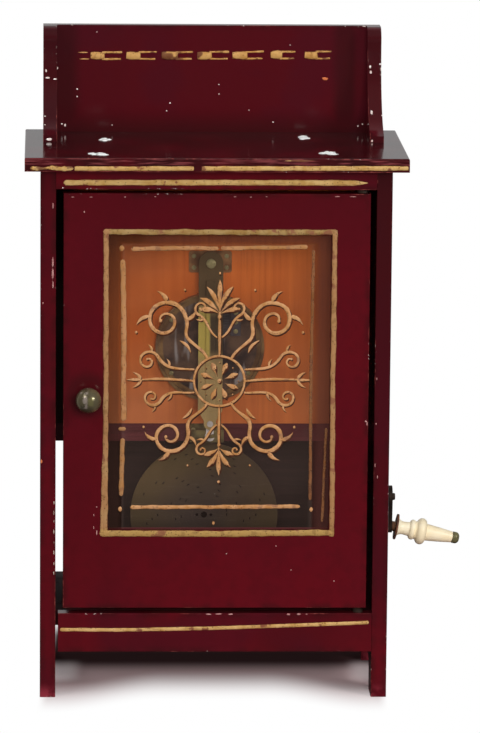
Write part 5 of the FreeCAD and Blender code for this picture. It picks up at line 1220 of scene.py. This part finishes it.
class MUSICALBOX_OT_finish_knob(bpy.types.Operator):
    """Finishes the ball knob, its rose and its latch"""
    bl_idname = "musical_box.finish_knob"
    bl_label = "Finish the Knob"

    def execute(self, context):
        shade("door_knob", knob_metal())
        shade("knob_rose door_pivot_bushes",
              aged_metal("rose_brass", (0.22, 0.18, 0.10), (0.090, 0.072, 0.042), 0.30, 0.48, 0.25, 0.6))
        shade("knob_spindle latch_tongue",
              aged_metal("latch_steel", settings().metal.steel, (0.20, 0.18, 0.16), 0.34))
        return {"FINISHED"}


class MUSICALBOX_OT_finish_crank(bpy.types.Operator):
    """Finishes the crank and its turned handle"""
    bl_idname = "musical_box.finish_crank"
    bl_label = "Finish the Crank"

    def execute(self, context):
        metal = settings().metal
        shade("crank_arm crank_shaft crank_nut door_pivot_pins",
              aged_metal("browned_steel", metal.browned, (0.022, 0.016, 0.013), 0.42, 0.5, 0.3, 0.6))
        shade("handle_pin", pin_metal())
        shade("crank_bush",
              aged_metal("bush_brass", (0.21, 0.18, 0.085), (0.085, 0.072, 0.034), 0.36, 0.5, 0.25, 0.5))
        shade("crank_handle", turned_bone())
        shade("handle_flange", fibrous("flange_fibre", metal.leather, 0.55))
        return {"FINISHED"}


class MUSICALBOX_OT_finish_drive(bpy.types.Operator):
    """Finishes the pulleys, belt, worm, wheel and brackets behind the soundboard"""
    bl_idname = "musical_box.finish_drive"
    bl_label = "Finish the Drive"

    def execute(self, context):
        metal = settings().metal
        shade("crank_pulley worm_pulley worm_wheel",
              aged_metal("drive_brass", metal.brass, metal.patina, 0.30, 0.58))
        shade("worm_shaft wheel_bridge crank_bracket shaft_brackets bracket_screws",
              aged_metal("bracket_steel", (0.16, 0.14, 0.125), (0.06, 0.045, 0.036), 0.40, 0.5, 0.3))
        shade("drive_belt", fibrous("belt_leather", metal.leather, 0.6))
        return {"FINISHED"}


class MUSICALBOX_OT_add_wear(bpy.types.Operator):
    """Adds the white marks on the top board and the larger chips"""
    bl_idname = "musical_box.add_wear"
    bl_label = "Add Wear"

    # Across, to the rear of the door's face, width, depth
    white_marks = ((-84.5, 93.0, 9.0, 17.0), (-91.5, 11.0, 14.5, 13.0), (71.7, 108.5, 9.0, 24.0),
                   (85.7, 20.0, 13.5, 19.0))
    # As the camera sees them on the door's plane: across, up, width, height
    case_chips = (
        (-130.3, 488.6, 1.2, 2.7), (-121.9, 490.6, 1.6, 2.0), (-129.0, 483.3, 3.8, 1.5),
        (-123.4, 482.3, 3.0, 1.2), (-131.0, 454.0, 1.2, 1.2), (-131.2, 447.4, 1.0, 1.4),
        (-115.9, 447.1, 1.6, 2.4), (-118.1, 448.0, 1.6, 1.2), (-127.9, 436.1, 4.6, 2.4),
        (-106.7, 474.8, 1.2, 1.2), (-106.7, 468.9, 1.0, 1.2), (115.9, 492.5, 1.6, 2.4),
        (116.5, 488.4, 1.6, 2.4), (117.5, 457.7, 1.6, 4.0), (125.3, 455.3, 1.0, 1.4),
        (110.6, 448.6, 1.2, 1.2), (107.2, 447.1, 1.4, 1.2), (118.0, 435.6, 1.4, 1.8),
        (123.4, 494.6, 1.2, 1.4), (-117.5, 399.0, 1.0, 1.0), (-92.0, 413.5, 2.0, 1.2),
        (-84.0, 414.5, 3.4, 1.1), (-36.1, 464.3, 1.2, 1.2), (1.1, 471.3, 0.9, 1.2),
        (-38.7, 458.3, 1.0, 0.9), (0.9, 478.6, 0.8, 0.9), (24.0, 459.1, 0.9, 0.9),
        (42.4, 450.0, 1.4, 0.8), (-80.1, 447.3, 0.9, 0.9), (-91.8, 518.3, 0.9, 0.7),
        (54.8, 508.9, 0.8, 0.8))
    plinth_chips = (
        (-4.0, 65.9, 4.0, 1.1), (4.0, 66.1, 5.0, 1.0), (13.0, 65.9, 4.0, 1.0), (58.0, 65.8, 2.6, 1.7),
        (66.0, 66.0, 3.0, 1.4), (72.0, 65.9, 1.5, 1.0))
    side_chips = (
        (-124.9, 385.3, 1.1, 5.0), (-124.9, 341.4, 1.3, 8.0), (-125.0, 332.5, 1.6, 9.0),
        (-124.8, 324.0, 1.0, 6.5), (124.0, 216.1, 0.9, 1.6), (124.1, 251.2, 0.8, 2.0),
        (123.6, 183.5, 0.7, 3.0), (125.6, 174.3, 0.8, 2.6), (-132.5, 310.0, 1.0, 2.0))
    edge_chips = (
        (-123.7, 154.0, 0.7, 2.6), (-123.8, 146.0, 0.8, 3.4), (-123.7, 139.5, 0.6, 2.0),
        (-123.8, 131.0, 0.8, 4.0), (-123.7, 122.5, 0.6, 2.2), (-123.8, 114.5, 0.9, 3.6),
        (-123.7, 106.0, 0.7, 2.4), (-123.8, 98.5, 0.8, 3.0))
    door_chips = (
        (47.8, 119.9, 1.0, 1.0), (59.6, 100.9, 0.9, 0.9), (93.0, 92.2, 1.2, 1.0),
        (-109.8, 391.8, 2.2, 0.7), (-96.0, 391.9, 2.4, 0.6), (-70.0, 392.0, 1.2, 0.8),
        (-47.0, 392.4, 1.6, 0.6), (14.0, 392.4, 2.2, 0.8), (26.0, 392.2, 1.6, 0.7),
        (38.0, 392.6, 1.2, 0.6), (92.0, 392.8, 4.0, 0.7), (104.0, 392.7, 5.0, 0.6),
        (-101.0, 380.5, 1.0, 1.6), (116.2, 218.0, 1.6, 1.2), (117.0, 216.0, 1.0, 3.4),
        (-90.8, 150.6, 0.9, 1.2), (-93.1, 144.3, 0.7, 1.7), (-93.1, 134.4, 0.6, 2.4),
        (-90.7, 130.4, 0.8, 3.6))
    orange_chips = ((81.7, 483.3, 4.6, 2.6), (-133.4, 186.3, 1.5, 3.0))
    thickness = 0.35 * MM

    def chips(self, name, places, boards, material, where):
        """One piece from a list of chips that the camera sees on the boards."""
        found = []
        for across, up, wide, tall in places:
            place, normal = where_seen(across, up, boards)
            found.append((place, normal, (wide * MM, self.thickness, tall * MM)))
        flakes(name, found, material, where)

    def daubs(self):
        """Each white mark as a heap of thin ragged flakes, seeded so that it comes out the same each time."""
        chance = random.Random(11)
        upward = Vector((0, 0, 1))
        places = []
        for x, y, wide, deep in self.white_marks:
            for count in range(9):
                across = x + wide * 0.30 * chance.uniform(-1, 1)
                back = y + deep * 0.34 * (count / 4 - 1)
                size = (wide * chance.uniform(0.35, 0.62) * MM, chance.uniform(0.9, 1.5) * MM,
                        deep * chance.uniform(0.22, 0.38) * MM)
                place = Vector((CASE_MIDDLE + across * MM, DOOR_FACE + back * MM, TOP_FACE))
                places.append((place, upward, size))
        return places

    def execute(self, context):
        white = flat_paint("white_residue", (0.94, 0.95, 0.93), (0.80, 0.82, 0.80))
        pale = flat_paint("chip_ground", (0.88, 0.80, 0.76), (0.62, 0.44, 0.40))
        pink = flat_paint("chip_edge", (0.50, 0.27, 0.25), (0.30, 0.10, 0.10))
        beige = flat_paint("chip_edge_pale", (0.50, 0.42, 0.34), (0.22, 0.13, 0.10))
        orange = flat_paint("chip_wood", (0.60, 0.17, 0.06), (0.36, 0.08, 0.03))
        case = CASE_BOARDS + GALLERY_SIDES
        flakes("white_marks_top", self.daubs(), white, ON_CASE)
        self.chips("chips_case", self.case_chips, case, pale, ON_CASE)
        self.chips("chips_plinth", self.plinth_chips, case, pink, ON_CASE)
        self.chips("chips_sides", self.side_chips, case, pink, ON_CASE)
        self.chips("chips_edge", self.edge_chips, case, beige, ON_CASE)
        self.chips("chips_door", self.door_chips, DOOR_BOARDS, pink, ON_DOOR)
        self.chips("chips_orange", self.orange_chips, case, orange, ON_CASE)
        return {"FINISHED"}


class MUSICALBOX_OT_set_stage(bpy.types.Operator):
    """Sets the floor, the lamps, the white surroundings and the camera"""
    bl_idname = "musical_box.set_stage"
    bl_label = "Set the Stage"

    floor_radius = 0.33
    floor_middle = 0.10
    # The shade on the floor, from the door's face to the rear: where it starts and is full, how much
    # nearer it comes at its sides, where the light through the side arches falls, where it is deep
    shade_start, shade_full = -12 * MM, 90 * MM
    nearer_at_sides = 42 * MM
    arch_light = (40 * MM, 70 * MM, 85 * MM, 130 * MM)
    deep_start, deep_full = 80 * MM, 122 * MM
    # Behind the case, where it fades out
    fade_start, fade_end = 55 * MM, 125 * MM
    # Name and setting, place, height of its aim, size, whether gloss shows it
    lamps = (("front", (0.08, -2.18, 0.74), 0.22, 0.8, False),
             ("right", (1.20, -1.20, 0.98), 0.20, 0.5, True),
             ("left", (-1.05, -1.00, 1.55), 0.20, 0.5, True),
             ("top", (0.0, -0.30, 1.90), 0.30, 1.1, False),
             ("rear", (-0.50, 1.90, 0.60), 0.25, 0.8, False))

    def execute(self, context):
        self.lay_floor()
        self.light()
        self.surround(context.scene)
        self.place_camera(context.scene)
        return {"FINISHED"}

    def lay_floor(self):
        """Pale paper that takes the shadow below and behind the case, with painted shadow and painted light
        from the side arches in its colour, and is plain white elsewhere.
        """
        finish = Finish("floor_paper")
        x, y, z = finish.axes()
        depth = y - DOOR_FACE
        half = CASE_HALF_WIDTH
        from_middle = (x - CASE_MIDDLE + depth * math.tan(settings().stage.azimuth)).absolute()
        aside = from_middle.falling(half - 7 * MM, half + 2 * MM)
        nearer = from_middle.rising(half * 0.3, half * 0.9) * self.nearer_at_sides
        along = (depth + nearer).rising(self.shade_start, self.shade_full)
        along = along * y.falling(CASE_REAR + self.fade_start, CASE_REAR + self.fade_end)
        arch = from_middle.rising(half * 0.76, half * 0.87) * depth.band(*self.arch_light)
        # Painted shadow: over the shade's area the white gives way to the lit paper, whose colour is painted
        # dark where the shade is deep and kept pale where painted light through the side arches falls.
        shown = 1 - aside * along * (1 - arch * 0.12)
        deep = depth.rising(self.deep_start, self.deep_full) * (1 - arch)
        paper_colour = finish.colours(deep, (0.62, 0.45, 0.455), (0.045, 0.017, 0.018))
        paper_colour = finish.colours(finish.mirrored() * 0.9, paper_colour, (0.02, 0.015, 0.015))
        paper = finish.node("ShaderNodeBsdfPrincipled", values={
            "Base Color": paper_colour, "Roughness": 0.9, "Specular IOR Level": 0.05,
            "Normal": finish.bump(finish.noise(500.0), 0.05, 0.2)})
        white = finish.node("ShaderNodeEmission", values={"Color": (1.0, 1.0, 1.0, 1.0), "Strength": 1.0})
        finish.output(finish.node("ShaderNodeMixShader", values={
            0: shown * finish.seen(), 1: paper, 2: white}))
        shape = bmesh.new()
        bmesh.ops.create_circle(shape, cap_ends=True, segments=96, radius=self.floor_radius)
        bmesh.ops.translate(shape, vec=(0.0, self.floor_middle, 0.0), verts=shape.verts)
        floor = made_of("floor", shape, finish.material, smooth=False)

    def light(self):
        """Soft square lamps that point at the case."""
        for name, place, aim_height, size, glossy in self.lamps:
            data = bpy.data.lights.new(name + "_lamp", "AREA")
            data.size = size
            data.energy = getattr(settings().stage, name)
            lamp = bpy.data.objects.new(name + "_lamp", data)
            lamp.visible_glossy = glossy
            lamp.location = place
            lamp.rotation_mode = "QUATERNION"
            aim = Vector((0, 0, aim_height)) - Vector(place)
            lamp.rotation_quaternion = aim.to_track_quat("-Z", "Y")
            bpy.context.scene.collection.objects.link(lamp)

    def surround(self, scene):
        """White where the camera looks; for gloss a room that is light behind and dark in front."""
        world = bpy.data.worlds.new("surroundings")
        finish = Finish("surroundings", world=world)
        x, y, z = finish.axes()
        behind = (y.rising(-0.30, 0.80) * 0.45).most(z.rising(0.45, 0.75) * 0.12) + 0.02
        strength = finish.seen().most(finish.mirrored() * behind).most(settings().stage.fill)
        finish.output(finish.node("ShaderNodeBackground", values={
            "Color": (1.0, 1.0, 1.0, 1.0), "Strength": strength}))
        scene.world = world

    def place_camera(self, scene):
        """The photograph's view: from the front, a little to the left and above."""
        stage = settings().stage
        data = bpy.data.cameras.new("camera")
        data.sensor_width = 36.0
        data.lens = stage.lens
        data.clip_start = 0.1
        data.clip_end = 50.0
        camera = bpy.data.objects.new("camera", data)
        back = camera_back()
        level_right = Vector((math.cos(stage.azimuth), math.sin(stage.azimuth), 0.0))
        level_up = back.cross(level_right)
        right = level_right * math.cos(stage.roll) + level_up * math.sin(stage.roll)
        camera.location = camera_place()
        camera.rotation_mode = "QUATERNION"
        camera.rotation_quaternion = Matrix((right, back.cross(right), back)).transposed().to_quaternion()
        scene.collection.objects.link(camera)
        scene.camera = camera
        scene.view_settings.view_transform = "Standard"


STEPS = (MUSICALBOX_OT_set_stage, MUSICALBOX_OT_lacquer_case, MUSICALBOX_OT_finish_inside,
         MUSICALBOX_OT_gild_case, MUSICALBOX_OT_gild_gallery, MUSICALBOX_OT_gild_window,
         MUSICALBOX_OT_glaze_door, MUSICALBOX_OT_paint_glass, MUSICALBOX_OT_finish_movement,
         MUSICALBOX_OT_finish_disc, MUSICALBOX_OT_finish_knob, MUSICALBOX_OT_finish_crank,
         MUSICALBOX_OT_finish_drive, MUSICALBOX_OT_add_wear)


class MUSICALBOX_PT_dressing(bpy.types.Panel):
    """Sidebar panel with every step of the dressing"""
    bl_idname = "MUSICALBOX_PT_dressing"
    bl_label = "Musical Box"
    bl_space_type = "VIEW_3D"
    bl_region_type = "UI"
    bl_category = "Musical Box"

    def draw(self, context):
        for step in STEPS:
            self.layout.operator(step.bl_idname)
        for group in ("case", "gilt", "glass", "metal", "stage"):
            box = self.layout.box()
            values = getattr(context.scene.musical_box, group)
            for name in values.bl_rna.properties.keys():
                if name not in ("rna_type", "name"):
                    box.prop(values, name)


CLASSES = (CaseSettings, GiltSettings, GlassSettings, MetalSettings, StageSettings, MusicalBoxSettings,
           *STEPS, MUSICALBOX_PT_dressing)


def register():
    """Adds the classes and the scene's settings."""
    for item in CLASSES:
        bpy.utils.register_class(item)
    bpy.types.Scene.musical_box = PointerProperty(type=MusicalBoxSettings)


def unregister():
    """Takes them away again."""
    del bpy.types.Scene.musical_box
    for item in reversed(CLASSES):
        bpy.utils.unregister_class(item)


def main():
    """Runs every step."""
    register()
    for step in STEPS:
        group, name = step.bl_idname.split(".")
        getattr(getattr(bpy.ops, group), name)()


if __name__ == "__main__":
    main()
